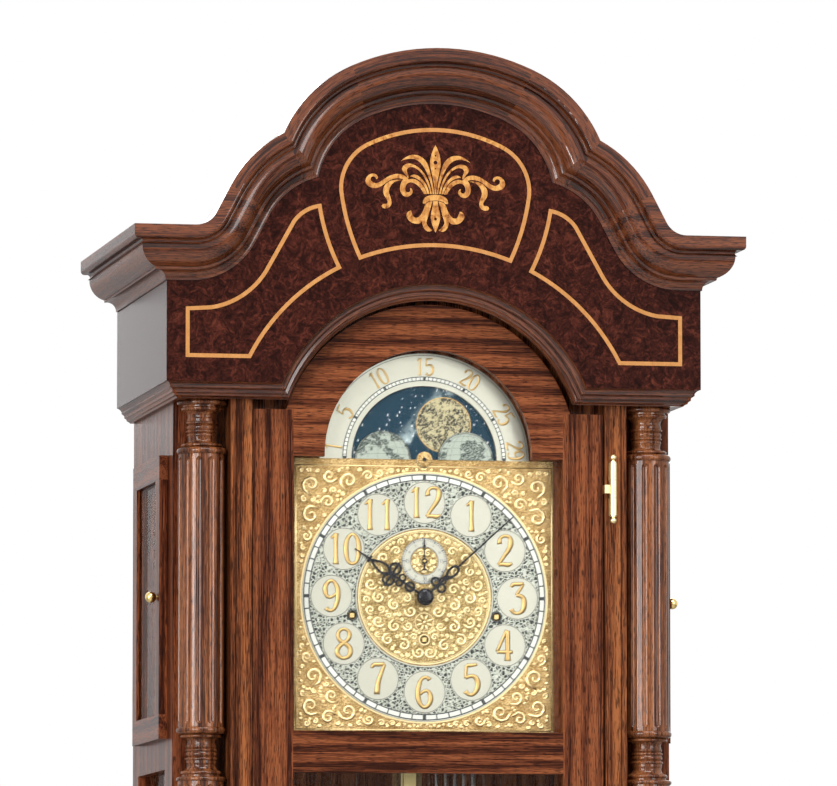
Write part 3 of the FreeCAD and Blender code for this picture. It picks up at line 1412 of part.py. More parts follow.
def gear(teeth, module, at, thick, phase=0.0):
    """A toothed disc about an axis along Y, with a tooth pointing up when the phase is zero."""
    count, module = int(teeth), float(module)
    radius = count * module / 2
    points = []
    for k in range(count):
        middle = 2 * math.pi * (k + phase) / count
        for sign, rows in ((-1, TOOTH_SHARES), (1, TOOTH_SHARES[::-1])):
            for rise, share in rows:
                r = radius + rise * module
                angle = middle + sign * share * 2 * math.pi / count
                points.append(Vector(r * math.sin(angle), 0, r * math.cos(angle)))
    shape = Part.Face(Part.makePolygon(points + points[:1])).extrude(Vector(0, float(thick), 0))
    return shape.translated(Vector(*[float(value) for value in at]))


def meshing(teeth, toward, tooth):
    """The phase that puts a tooth, or a gap, in a direction given as across and up."""
    turn = math.atan2(float(toward[0]), float(toward[1])) / (2 * math.pi)
    return turn * int(teeth) + (0 if tooth else 0.5)


def arbor(label, x, level, parts, start, end, radius=None):
    """Wheels and pinions on their arbor as one solid; start and end are setbacks."""
    radius = radius or s.train_arbor_radius
    return [disc(label + "_arbor", front + start, radius, end - start, x, level)] + parts


def going_train():
    level, leaves, thick = s.hand_level, s.pinion_teeth, s.wheel_thick
    great_level = level - s.drum_time_drop
    third = (s.third_across, level + s.third_rise)
    escape_level = level + s.seconds_rise
    great_module = s.drum_time_drop * 2 / (s.great_teeth + leaves)
    across, rise = s.third_across, s.third_rise
    centre_module = root(across * across + rise * rise) * 2 / (s.centre_teeth + leaves)
    drop = s.seconds_rise - s.third_rise
    third_module = root(across * across + drop * drop) * 2 / (s.third_teeth + leaves)
    sets = [s.wheel_set + s.wheel_pitch * i for i in range(4)]
    lead = (s.pinion_length - thick) / 2
    plate_end = s.plate_back_set + s.plate_thick

    def wheel(label, teeth, module, x, z, at, phase):
        return feature(label, gear(teeth, module, (x, front + at, z), thick, phase))

    def pinion(label, module, x, z, at, phase):
        return feature(label, gear(leaves, module, (x, front + at - lead, z), s.pinion_length, phase))

    up = (0, 1)
    great = wheel("great_teeth_wheel", s.great_teeth, great_module, 0, great_level, sets[0],
                  meshing(s.great_teeth, up, True))
    bore = disc("great_bore", front + sets[0], s.drum_arbor_radius + s.running_gap, thick, 0, great_level)
    node("great_wheel", cut("great_wheel_cut", great, bore))
    to_third = (across, rise)
    centre_parts = [
        pinion("centre_pinion", great_module, 0, level, sets[0], meshing(leaves, (0, -1), False)),
        wheel("centre_teeth_wheel", s.centre_teeth, centre_module, 0, level, sets[1],
              meshing(s.centre_teeth, to_third, True)),
        disc("centre_post", front + s.hand_nut_front_set, s.centre_arbor_radius,
             s.plate_front_set + s.plate_thick - s.hand_nut_front_set),
    ]
    node("centre_wheel", join("centre_wheel_solid", arbor("centre", 0, level, centre_parts,
                                                          s.plate_front_set, plate_end)))
    to_centre, to_escape = (-across, -rise), (-across, drop)
    third_parts = [
        pinion("third_pinion", centre_module, third[0], third[1], sets[1], meshing(leaves, to_centre, False)),
        wheel("third_teeth_wheel", s.third_teeth, third_module, third[0], third[1], sets[2],
              meshing(s.third_teeth, to_escape, True)),
    ]
    node("third_wheel", join("third_wheel_solid", arbor("third", third[0], third[1], third_parts,
                                                        s.plate_front_set, plate_end)))
    escape_parts = [
        pinion("escape_pinion", third_module, 0, escape_level, sets[2],
               meshing(leaves, (across, -drop), False)),
        feature("escape_teeth_wheel", escape_teeth(escape_level, front + sets[3])),
    ]
    node("escape_wheel", join("escape_wheel_solid", arbor("escape", 0, escape_level, escape_parts,
                                                          s.seconds_hand_set, plate_end)))


def escape_teeth(level, at):
    count = int(s.escape_teeth)
    tip, low = float(s.escape_radius), float(s.escape_root_radius)
    points = []
    for k in range(count):
        for radius, share in ((low, 0.0), (tip, 0.3), (tip, 0.38), (low, 0.5)):
            angle = 2 * math.pi * (k + share) / count
            points.append(Vector(radius * math.sin(angle), 0, radius * math.cos(angle)))
    shape = Part.Face(Part.makePolygon(points + points[:1])).extrude(Vector(0, float(s.wheel_thick), 0))
    return shape.translated(Vector(0, float(at), float(level)))


# Anchor: the pallets over the escape wheel, and behind the movement the crutch that takes the rod.
# The outline is in shares of the distance between the two arbors
ANCHOR_SHARES = [
    (0.0, 0.14), (-0.14, 0.05, 0.1), (-0.52, -0.36, 0), (-0.58, -0.60, 0.1), (-0.45, -0.53, 0),
    (-0.40, -0.36, 0), (0.0, -0.12, -0.1), (0.40, -0.36, -0.1), (0.45, -0.53, 0), (0.58, -0.60, 0),
    (0.52, -0.36, 0.1), (0.14, 0.05, 0),
]


def anchor():
    level = s.hand_level + s.anchor_rise
    at = front + s.wheel_set + s.wheel_pitch * 3
    size = s.anchor_rise - s.seconds_rise
    shape = slab(face(moved(scaled(ANCHOR_SHARES, size, size), 0, level)), at, s.anchor_thick)
    crutch_at = front + s.crutch_set
    half, foot = s.crutch_half, level - s.crutch_drop
    inner = s.rod_head_width / 2 + s.tine_gap
    wide = inner + s.tine_width
    parts = [
        feature("pallets", shape),
        box("crutch_arm", (-half, crutch_at, foot), (half * 2, s.crutch_thick, s.crutch_drop + half)),
        box("crutch_foot", (-wide, crutch_at, foot), (wide * 2, s.crutch_thick, s.crutch_foot)),
    ]
    reach = s.rod_set + s.rod_thick - s.crutch_set
    for side, x in (("left", -wide), ("right", inner)):
        parts.append(box(f"{side}_tine", (x, crutch_at, foot), (s.tine_width, reach, s.crutch_foot)))
    arbor_at = s.wheel_set + s.wheel_pitch * 2
    node("anchor", join("anchor_solid", arbor("anchor", 0, level, parts, arbor_at,
                                              s.crutch_set + s.crutch_thick)))


# Movement frame: two plates on four pillars, with the suspension cock on the back plate
def movement():
    half, low, high = s.plate_half, s.plate_bottom_level, s.plate_top_level
    level, gap, thick = s.hand_level, s.running_gap, s.plate_thick
    thin = s.train_arbor_radius + gap
    spots = [
        (s.third_across, level + s.third_rise, thin), (0, level + s.seconds_rise, thin),
        (0, level + s.anchor_rise, thin),
    ]
    spots += [(x, z, s.drum_arbor_radius + gap) for _, x, z in winding_spots()]
    parts = []
    for name, at, centre in (("front", s.plate_front_set, s.centre_arbor_radius + gap),
                             ("back", s.plate_back_set, thin)):
        blank = box(f"{name}_plate_blank", (-half, front + at, low), (half * 2, thick, high - low))
        bores = [disc(f"{name}_bore_{i}", front + at, radius, thick, x, z)
                 for i, (x, z, radius) in enumerate(spots + [(0, level, centre)])]
        parts.append(cut(f"{name}_plate", blank, join(f"{name}_bores", bores)))
    start = front + s.plate_front_set + thick
    length = s.plate_back_set - s.plate_front_set - thick
    inset = s.pillar_inset
    for i, (x, z) in enumerate(((-half + inset, low + inset), (half - inset, low + inset),
                                (-half + inset, high - inset), (half - inset, high - inset))):
        parts.append(disc(f"pillar_{i}", start, s.pillar_radius, length, x, z))
    pivot = level + s.anchor_rise
    top = pivot + s.cock_rise
    plate_end = front + s.plate_back_set + thick
    pieces = [box("cock_block", (-s.cock_half, plate_end, top),
                  (s.cock_half * 2, front + s.cock_back_set - plate_end, s.cock_height))]
    wide, cheek = s.cheek_half, s.cheek_thick
    far = front + s.cock_back_set
    clear = s.rod_thick * 2
    for name, y in (("near", far - cheek * 2 - clear), ("far", far - cheek)):
        pieces.append(box(f"cock_{name}", (-wide, y, pivot - wide), (wide * 2, cheek, top - pivot + wide)))
    near = far - cheek * 2 - clear
    pieces.append(disc("cock_pin", near, s.pin_radius, far - near, 0, pivot))
    parts.append(join("cock", pieces))
    node("movement_plates", group("movement_group", parts))


# Winding drums on their arbors, with the squares that show in the dial
def drums():
    start, end, flange = s.drum_start_set, s.drum_end_set, s.drum_flange_thick
    for side, x, level in winding_spots():
        square, half = s.winding_square_set, s.winding_square_half
        shank = s.plate_front_set - s.pass_gap
        pieces = [
            disc(f"{side}_drum_core", front + start, s.drum_radius, end - start, x, level),
            disc(f"{side}_near_flange", front + start, s.drum_flange_radius, flange, x, level),
            disc(f"{side}_far_flange", front + end - flange, s.drum_flange_radius, flange, x, level),
            disc(f"{side}_drum_arbor", front + shank, s.drum_arbor_radius,
                 s.plate_back_set + s.plate_thick - shank, x, level),
            box(f"{side}_square", (x - half, front + square, level - half),
                (half * 2, shank - square, half * 2)),
        ]
        node(f"{side}_drum", join(f"{side}_drum_solid", pieces))


# Seatboard: it carries the movement, with holes for the cables and slots for rod and great wheel
def seatboard():
    low, thick = s.plate_bottom_level - s.seatboard_thick, s.seatboard_thick
    inside, step = s.trunk_half - s.side_thick, s.recess_set + s.recess_thick + s.seatboard_post_gap
    near, end = front + s.seatboard_front_set, front + s.seatboard_back_set
    boards = [
        box("seat_front", (-s.seatboard_half, near, low), (s.seatboard_half * 2, end - near, thick)),
        box("seat_back", (-inside, front + step, low), (inside * 2, end - front - step, thick)),
    ]
    slot, wheel = s.rod_slot_half, s.wheel_slot_half
    cuts = [
        box("rod_slot", (-slot, front + s.rod_set - s.rod_slot_width / 2, low),
            (slot * 2, s.rod_slot_width, thick)),
        box("wheel_slot", (-wheel, front + s.wheel_set + s.wheel_thick / 2 - s.wheel_slot_width / 2, low),
            (wheel * 2, s.wheel_slot_width, thick)),
    ]
    for side, x, _ in winding_spots():
        cuts.append(rod(f"{side}_cable_hole", "z", (x + s.cable_spread, front + s.cable_set, low),
                        s.cable_hole_radius, thick))
    top = cut("seat_cut", join("seat_blank", boards), join("seat_slots", cuts))
    cheeks = []
    for name, x in (("left_cheek", -inside), ("right_cheek", inside - s.cheek_width)):
        cheeks.append(box(name, (x, front + s.cheek_front_set, low - s.cheek_drop),
                          (s.cheek_width, s.cheek_depth, s.cheek_drop)))
    node("seatboard", group("seatboard_group", [top] + cheeks))


# Weights on their pulleys and cables, run down
def revolved_y(profile, x, y, level):
    """A solid turned about an axis along Y; the profile is (radius, along) corners."""
    points = [Vector(float(r), float(along), 0) for r, along in profile]
    shape = Part.Face(Part.makePolygon(points + points[:1])).revolve(Vector(), AXES["y"], 360)
    return shape.translated(Vector(float(x), float(y), float(level)))


def weights():
    level, y, spread = s.pulley_level, front + s.cable_set, s.cable_spread
    seat = s.plate_bottom_level - s.seatboard_thick
    half, outer, groove, bore = s.pulley_width / 2, s.pulley_radius, s.groove_radius, s.pulley_axle_radius
    thin = s.groove_half
    for side, x, drum_level in winding_spots():
        hole = bore + s.running_gap
        profile = [(hole, -half), (outer, -half), (groove, -thin), (groove, thin), (outer, half), (hole, half)]
        node(f"{side}_pulley", feature(f"{side}_pulley", revolved_y(profile, x, y, level)))
        node(f"{side}_weight", weight(side, x, y, level))
        bend = Part.makeTorus(float(spread), float(s.cable_radius), Vector(float(x), float(y), float(level)),
                              AXES["y"])
        size = float(spread) * 2
        lower = Part.makeBox(size * 2, size * 2, size * 2,
                             Vector(float(x) - size, float(y) - size, float(level) - size * 2))
        strands = [
            feature(f"{side}_bend", bend.common(lower)),
            rod(f"{side}_drum_strand", "z", (x + spread, y, level), s.cable_radius, drum_level - level),
            rod(f"{side}_seat_strand", "z", (x - spread, y, level), s.cable_radius, seat - level),
        ]
        node(f"{side}_cable", join(f"{side}_cable_solid", strands))


def weight(side, x, y, level):
    """The stirrup, its axle and shank, and the weight with a cap at each end."""
    half, wide, cheek = s.pulley_width / 2 + s.stirrup_gap, s.stirrup_width / 2, s.stirrup_thick
    bottom = level - s.stirrup_drop
    top = level - s.weight_hook
    reach = half + cheek
    pieces = [rod(f"{side}_axle", "y", (x, y - reach, level), s.pulley_axle_radius, reach * 2)]
    for name, at in (("near", y - reach), ("far", y + half)):
        pieces.append(box(f"{side}_{name}_cheek", (x - wide, at, bottom),
                          (wide * 2, cheek, level + wide - bottom)))
    pieces.append(box(f"{side}_bridge", (x - wide, y - reach, bottom),
                      (wide * 2, reach * 2, s.stirrup_bridge)))
    pieces.append(rod(f"{side}_shank", "z", (x, y, top), s.shank_radius, bottom - top + s.stirrup_bridge))
    cap, body = s.weight_cap, s.weight_length - s.weight_cap * 2
    foot = top - s.weight_length
    pieces.append(rod(f"{side}_shell", "z", (x, y, foot + cap), s.weight_radius, body))
    for name, z in (("low", foot), ("high", top - cap)):
        pieces.append(rod(f"{side}_{name}_cap", "z", (x, y, z), s.weight_cap_radius, cap))
    return join(f"{side}_weight_solid", pieces)


# Pendulum: a wooden strip with a narrow head, and the brass bob on its rating nut
def pendulum():
    y, level, wide, thick = front + s.rod_set, s.bob_level, s.rod_width, s.rod_thick
    pivot = s.hand_level + s.anchor_rise
    top = pivot + s.rod_head_over
    neck, foot = top - s.rod_head, level - s.bob_radius
    head, near = s.rod_head_width, y - thick / 2
    screw = s.screw_length
    strip = join("rod_blank", [
        box("rod_strip", (-wide / 2, near, foot + s.bob_edge), (wide, thick, neck - foot - s.bob_edge)),
        box("rod_head", (-head / 2, near, neck), (head, thick, top - neck)),
        rod("rod_screw", "z", (0, y, foot + s.bob_edge - screw - s.bob_edge), s.screw_radius,
            screw + s.bob_edge * 2),
    ])
    bore = disc("rod_bore", near, s.pin_radius + s.running_gap, thick, 0, pivot)
    node("pendulum_rod", cut("pendulum_rod_cut", strip, bore))
    edge, deep, radius = s.bob_edge / 2, s.bob_thick / 2, s.bob_radius
    rise = float(deep - edge)
    curve_radius = (float(radius) ** 2 + rise ** 2) / (2 * rise)
    rows = []
    for i in range(13):
        r = float(radius) * i / 12
        rows.append((r, float(edge) + math.sqrt(curve_radius ** 2 - r * r) - curve_radius + rise))
    profile = rows + [(r, -along) for r, along in rows[::-1]]
    lens = feature("bob_lens", revolved_y(profile[:1] + profile[1:-1] + profile[-1:], 0, y, level))
    gap, slit = s.bob_slot_gap, s.screw_radius + s.bob_slot_gap
    slot = join("bob_slots", [
        box("bob_slot", (-wide / 2 - gap, near - gap, foot - gap),
            (wide + gap * 2, thick + gap * 2, radius * 3)),
        rod("bob_bore", "z", (0, y, foot - gap), slit, radius),
    ])
    bob = cut("bob", lens, slot)
    height = s.rating_nut_height
    nut = cut("rating_nut", rod("rating_nut_blank", "z", (0, y, foot - height), s.rating_nut_radius, height),
              rod("rating_nut_bore", "z", (0, y, foot - height), s.screw_radius + s.running_gap, height))
    node("pendulum_bob", group("pendulum_bob_group", [bob, nut]))


# Chime rods hanging from a block on the back board, and the hammers on an arbor over it
def chimes():
    first, pitch, count = s.chime_first, s.chime_pitch, int(s.chime_count)
    y, low, high = front + s.chime_set, s.chime_block_level, s.chime_block_level + s.chime_block_height
    side, deep = s.chime_block_side, s.chime_block_depth
    start, width = first - side, pitch * (count - 1) + side * 2
    near = y - deep / 2
    inner_back = back - s.back_thick
    middle, wide, tall = start + width / 2, s.chime_bracket_half, s.chime_bracket_height
    pieces = [
        box("chime_block", (start, near, low), (width, deep, high - low)),
        box("chime_bracket", (middle - wide, near + deep, low + (high - low - tall) / 2),
            (wide * 2, inner_back - near - deep, tall)),
    ]
    for i in range(count):
        length = s.chime_long - s.chime_step * i
        pieces.append(rod(f"chime_rod_{i}", "z", (first + pitch * i, y, low - length), s.chime_rod_radius,
                          length))
    lug, rise = s.hammer_lug, s.hammer_lug_rise
    arbor_y, arbor_z = front + s.hammer_arbor_set, high + rise - s.hammer_arbor_drop
    for name, x in (("left", start), ("right", start + width - lug)):
        pieces.append(box(f"{name}_lug", (x, arbor_y - s.hammer_lug_depth / 3, high),
                          (lug, s.hammer_lug_depth, rise)))
    pieces.append(rod("hammer_arbor", "x", (start, arbor_y, arbor_z), s.hammer_arbor_radius, width))
    node("chime_rods", join("chime_solid", pieces))
    gap = s.hammer_side_gap
    sleeve = rod("hammer_sleeve", "x", (start + lug + gap, arbor_y, arbor_z), s.hammer_sleeve_radius,
                 width - lug * 2 - gap * 2)
    blanks = [sleeve]
    arm, reach, head = s.hammer_arm, s.hammer_arm_reach, s.hammer_head_radius
    end = y - s.chime_rod_radius - s.hammer_gap
    head_z = low - s.hammer_head_under
    for i in range(count):
        x = first + pitch * i
        blanks.append(box(f"hammer_shoulder_{i}", (x - arm / 2, arbor_y - reach - arm, arbor_z - arm / 2),
                          (arm, reach + arm, arm)))
        blanks.append(box(f"hammer_arm_{i}", (x - arm / 2, arbor_y - reach - arm, head_z),
                          (arm, arm, arbor_z - head_z)))
        blanks.append(rod(f"hammer_head_{i}", "y", (x, end - s.hammer_head_length, head_z), head - arm / 4,
                          s.hammer_head_length))
    bore = rod("hammer_bore", "x", (start, arbor_y, arbor_z), s.hammer_arbor_radius + s.running_gap, width)
    node("hammers", cut("hammers_cut", join("hammers_blank", blanks), bore))


plinth()
base()
waist()
trunk()
posts()
columns()
frieze()
cornice()
hood_moulding()
front_door()
post_hinges()
side_doors()
dial()
hands()
going_train()
anchor()
movement()
drums()
seatboard()
weights()
pendulum()
chimes()
doc.recompute()

for item in doc.Objects:
    faults = [state for state in item.State if state in ("Invalid", "Error")]
    if faults:
        raise RuntimeError(f"{item.Label} did not compute")
for name, item in nodes.items():
    if item.Shape.isNull() or not item.Shape.isValid() or not item.Shape.Solids:
        raise RuntimeError(f"{name} has no valid shape")
    item.Shape.exportStep(f"parts/{name}.step")
print(len(nodes), "nodes written")
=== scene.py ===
import math
import random

import bpy
from mathutils import Matrix, Vector


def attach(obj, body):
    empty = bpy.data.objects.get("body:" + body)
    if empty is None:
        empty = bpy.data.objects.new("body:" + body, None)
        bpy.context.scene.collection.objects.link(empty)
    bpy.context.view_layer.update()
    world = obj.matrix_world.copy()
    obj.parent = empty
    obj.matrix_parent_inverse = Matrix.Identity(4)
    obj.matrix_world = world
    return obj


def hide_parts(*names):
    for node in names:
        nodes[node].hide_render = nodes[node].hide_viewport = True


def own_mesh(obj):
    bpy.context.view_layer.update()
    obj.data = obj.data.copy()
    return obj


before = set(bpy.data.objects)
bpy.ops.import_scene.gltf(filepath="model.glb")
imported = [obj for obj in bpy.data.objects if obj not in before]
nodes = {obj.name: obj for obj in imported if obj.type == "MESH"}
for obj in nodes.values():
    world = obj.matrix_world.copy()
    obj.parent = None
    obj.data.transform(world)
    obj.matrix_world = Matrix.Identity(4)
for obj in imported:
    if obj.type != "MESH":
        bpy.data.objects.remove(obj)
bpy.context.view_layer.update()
frontY = -0.149            # the frieze's front face
dialZ = 1.6465             # the hands' centre
archZ = 1.793              # the moon disc's centre


# Camera, lamps and floor
def setStage():
    view = {"place": (-1.559, -8.016, 1.118), "turn": -11.081, "tilt": 5.276, "lens": 328.2, "sensor": 36,
            "reach": 60}
    bpy.ops.object.camera_add(location=view["place"],
                              rotation=(math.radians(90 + view["tilt"]), 0, math.radians(view["turn"])))
    camera = bpy.context.object
    camera.data.lens = view["lens"]
    camera.data.sensor_width = view["sensor"]
    camera.data.clip_end = view["reach"]
    bpy.context.scene.camera = camera

    lamps = [
        {"place": (-2.4, -3.2, 2.5), "aim": (0, 0, 1.6), "size": (1.4, 2.0), "power": 92},
        {"place": (-3.1, -2.6, 1.8), "aim": (0, 0, 1.6), "size": (0.35, 2.8), "power": 60},
        {"place": (2.2, -3.8, 2.5), "aim": (0, 0, 1.5), "size": (1.4, 2.2), "power": 60},
        {"place": (0.2, -1.9, 4.3), "aim": (0, 0, 1.8), "size": (2.2, 1.2), "power": 92},
        {"place": (0.5, 3.2, 3.0), "aim": (0, 0, 1.2), "size": (2.6, 2.0), "power": 40},
    ]
    for lamp in lamps:
        bpy.ops.object.light_add(type="AREA", location=lamp["place"])
        light = bpy.context.object
        light.data.shape = "RECTANGLE"
        light.data.size, light.data.size_y = lamp["size"]
        light.data.energy = lamp["power"]
        towards = Vector(lamp["aim"]) - Vector(lamp["place"])
        light.rotation_euler = towards.to_track_quat("-Z", "Y").to_euler()

    world = bpy.data.worlds.new("studio")
    bpy.context.scene.world = world
    world.use_nodes = True
    tree = world.node_tree
    tree.nodes.clear()
    soft = wire(tree, "Background", Color=(1.0, 0.98, 0.96, 1), Strength=0.2)
    white = wire(tree, "Background", Color=(1, 1, 1, 1), Strength=1.0)
    path = wire(tree, "LightPath")
    seen = sums(tree, "MAXIMUM", path.outputs["Is Camera Ray"], path.outputs["Is Transmission Ray"])
    seen = sums(tree, "MAXIMUM", seen, path.outputs["Is Glossy Ray"])
    wire(tree, "OutputWorld", Surface=wire(tree, "MixShader", None, seen, soft, white))
    bpy.context.scene.view_settings.view_transform = "Standard"

    bpy.ops.mesh.primitive_plane_add(size=14, location=(0, 0, -0.0005))
    floor = bpy.context.object
    floor.name = "floor"
    floor.data.materials.append(newMaterial(floorPaint, "floorPaint"))


# Shader trees: an input takes a node's first output, another socket or a value
def feed(tree, socket, value):
    if isinstance(value, bpy.types.Node):
        value = value.outputs[0]
    if isinstance(value, bpy.types.NodeSocket):
        tree.links.new(value, socket)
    elif socket.type == "RGBA" and len(value) == 3:
        socket.default_value = (*value, 1)
    else:
        socket.default_value = value


def feedNamed(tree, node, **values):
    for name, value in values.items():
        feed(tree, node.inputs[name.replace("_", " ")], value)
    return node


# A new node, with its settings, its sockets in order and its sockets by name
def wire(tree, kind, settings=None, *inOrder, **byName):
    node = tree.nodes.new("ShaderNode" + kind)
    for name, value in (settings or {}).items():
        setattr(node, name, value)
    for place, value in enumerate(inOrder):
        if value is not None:
            feed(tree, node.inputs[place], value)
    return feedNamed(tree, node, **byName)


def sums(tree, operation, a, b=None):
    return wire(tree, "Math", {"operation": operation}, a, b)


def times(tree, a, b):
    return wire(tree, "Math", {"operation": "MULTIPLY"}, a, b)


def minus(tree, a, b):
    return wire(tree, "Math", {"operation": "SUBTRACT"}, a, b)


def timesPlus(tree, a, b, c):
    return wire(tree, "Math", {"operation": "MULTIPLY_ADD"}, a, b, c)


def scaled(tree, place, by):
    return wire(tree, "VectorMath", {"operation": "MULTIPLY"}, place, by)


def noise(tree, place, scale, detail, rough=0.5, twist=0.0):
    return wire(tree, "TexNoise", None, Vector=place, Scale=scale, Detail=detail, Roughness=rough,
                Distortion=twist)


def cells(tree, place, scale, feature="F1"):
    return wire(tree, "TexVoronoi", {"feature": feature}, Vector=place, Scale=scale)


# A place pushed about by noise
def stirred(tree, place, scale, detail, rough, amount):
    push = noise(tree, place, scale, detail, rough).outputs["Color"]
    return wire(tree, "VectorMath", {"operation": "MULTIPLY_ADD"}, push, (amount,) * 3, place)


def between(tree, value, low, high, first=0.0, last=1.0, kind="LINEAR"):
    return wire(tree, "MapRange", {"interpolation_type": kind}, value, low, high, first, last)


def bumps(tree, height, strength, distance=0.0003, invert=False):
    return wire(tree, "Bump", {"invert": invert}, Strength=strength, Distance=distance, Height=height)


def ramp(tree, value, stops):
    node = wire(tree, "ValToRGB", None, value)
    steps = node.color_ramp.elements
    while len(steps) < len(stops):
        steps.new(0.5)
    for step, (place, colour) in zip(steps, stops):
        step.position = place
        step.color = (*colour, 1)
    return node


def blendColour(tree, amount, first, second):
    node = wire(tree, "Mix", {"data_type": "RGBA"})
    for place, value in ((0, amount), (6, first), (7, second)):
        feed(tree, node.inputs[place], value)
    return node.outputs[2]


def mixPlaces(tree, pick, first, second):
    node = wire(tree, "Mix", {"data_type": "VECTOR"})
    for place, value in ((0, pick), (4, first), (5, second)):
        feed(tree, node.inputs[place], value)
    return node.outputs[1]


def newGroup(name, inputs, outputs):
    group = bpy.data.node_groups.new(name, "ShaderNodeTree")
    for way, sockets in (("INPUT", inputs), ("OUTPUT", outputs)):
        for label, kind in sockets.items():
            group.interface.new_socket(label, in_out=way, socket_type="NodeSocket" + kind)
    return group, group.nodes.new("NodeGroupInput").outputs, group.nodes.new("NodeGroupOutput")


def useGroup(tree, group, **sockets):
    node = tree.nodes.new("ShaderNodeGroup")
    node.node_tree = group
    return feedNamed(tree, node, **sockets)


def newMaterial(make, name, *settings):
    material = bpy.data.materials.new(name)
    material.use_nodes = True
    tree = material.node_tree
    make(tree, tree.nodes["Principled BSDF"], *settings)
    return material


def varnish(tree, shader, coat, rough, shine):
    feedNamed(tree, shader, Coat_Weight=coat, Coat_Roughness=rough, Specular_IOR_Level=shine)


def objectPlace(tree):
    return wire(tree, "TexCoord").outputs["Object"]


def split(tree, place):
    return wire(tree, "SeparateXYZ", None, place).outputs


# Walnut: figure bands, fibre streaks and short dark pores along the grain, which runs along z
def makeWalnutGroup():
    look = {"bands": 310.0, "sway": 6.5, "swing": 2.6, "lean": 0.6, "streaks": 260.0, "fibres": 820.0,
            "pores": 1500.0, "weights": (0.12, 0.58, 0.28, 0.16), "darks": (0.46, 0.55),
            "lights": (0.55, 0.645), "poreRange": (0.53, 0.63), "poreShade": 0.76,
            "poreColour": (0.010, 0.003, 0.002)}
    group, given, result = newGroup(
        "walnutGrain",
        {"Place": "Vector", "Light": "Color", "Mid": "Color", "Dark": "Color", "Figure": "Float"},
        {"Color": "Color", "Rough": "Float", "Height": "Float"})
    place = given["Place"]
    long, fine, short = (scaled(group, place, (1, 1, along)) for along in (0.10, 0.022, 0.06))
    x, y, _ = split(group, place)
    across = sums(group, "ADD", x, times(group, y, look["lean"]))
    swing = times(group, noise(group, long, 9.0, 3.0, 0.55, 0.5), look["sway"])
    swing = times(group, times(group, swing, given["Figure"]), look["swing"])
    wave = sums(group, "SINE", timesPlus(group, across, look["bands"], swing))
    band = timesPlus(group, wave, 0.5, 0.5)
    fibre = noise(group, fine, look["fibres"], 4.0, 0.6)
    streak = noise(group, fine, look["streaks"], 2.0)
    pore = noise(group, short, look["pores"], 1.0, 0.4)
    pores = between(group, pore, *look["poreRange"], kind="SMOOTHSTEP")
    patch = noise(group, long, 3.2, 2.0)
    tone = 0.0
    for part, weight in zip((band, fibre, streak, patch), look["weights"]):
        tone = timesPlus(group, part, weight, tone)
    wood = blendColour(group, between(group, tone, *look["darks"]), given["Dark"], given["Mid"])
    wood = blendColour(group, between(group, tone, *look["lights"]), wood, given["Light"])
    wood = blendColour(group, times(group, pores, look["poreShade"]), wood, look["poreColour"])
    rough = timesPlus(group, fibre, 0.14, 0.22)
    height = minus(group, times(group, fibre, 0.35), pores)
    feedNamed(group, result, Color=wood, Rough=rough, Height=height)
    return group


# Burl: crushed swirls with dark eyes
def makeBurlGroup():
    look = {"swirls": 92.0, "eyes": 170.0, "grit": 420.0, "eyeShade": 0.55,
            "eyeColour": (0.007, 0.002, 0.0015),
            "tones": [(0.34, (0.005, 0.0013, 0.001)), (0.47, (0.014, 0.003, 0.002)),
                      (0.56, (0.032, 0.007, 0.0045)), (0.66, (0.072, 0.017, 0.010)),
                      (0.80, (0.13, 0.038, 0.019))]}
    group, given, result = newGroup("burlFigure", {"Place": "Vector"},
                                    {"Color": "Color", "Rough": "Float", "Height": "Float"})
    place = stirred(group, given["Place"], 24.0, 3.0, 0.6, 0.03)
    swirl = noise(group, place, look["swirls"], 7.0, 0.74, 1.1)
    eye = between(group, cells(group, place, look["eyes"]), 0.16, 0.34, 1.0, 0.0, "SMOOTHSTEP")
    grit = noise(group, place, look["grit"], 2.0)
    tone = timesPlus(group, grit, 0.22, times(group, swirl, 0.86))
    eye = times(group, eye, look["eyeShade"])
    wood = blendColour(group, eye, ramp(group, tone, look["tones"]), look["eyeColour"])
    feedNamed(group, result, Color=wood, Rough=timesPlus(group, swirl, 0.12, 0.16), Height=swirl)
    return group


# Handling marks: a cloudy change of roughness and a little of colour for the metals
def makeSmudgeGroup():
    group, given, result = newGroup(
        "smudges", {"Place": "Vector", "Rough": "Float", "Spread": "Float", "Size": "Float"},
        {"Rough": "Float", "Tone": "Float", "Height": "Float"})
    cloud = noise(group, given["Place"], given["Size"], 4.0, 0.6)
    middle = minus(group, cloud, 0.5)
    rough = timesPlus(group, middle, given["Spread"], given["Rough"])
    feedNamed(group, result, Rough=rough, Tone=cloud, Height=noise(group, given["Place"], 900.0, 2.0))
    return group


# Where the grain turns on the case, in metres
grainLimits = {"mitre": 0.2875, "boxSide": 0.2872, "doorStile": 0.1455, "doorHead": 1.842,
               "lowRail": 1.522, "highRail": 1.771}
# The mouldings' arcs: the line that each ends on (lean, across, up), its centre (across, up) and its radius
arcs = {
    "mitred": [],
    "crest": [(1.905, 0.2263, 2.0695, 0.1061, 2.0064, 0.136), (0.6, 0.1699, 2.1262, 0.0385, 2.0685, 0.144),
              (0.455, 0.0979, 2.1991, 0.0, 1.9839, 0.236)],
    "hood": [(0.0, 0.163, 1.87, 0.0, 1.796, 0.179)],
}


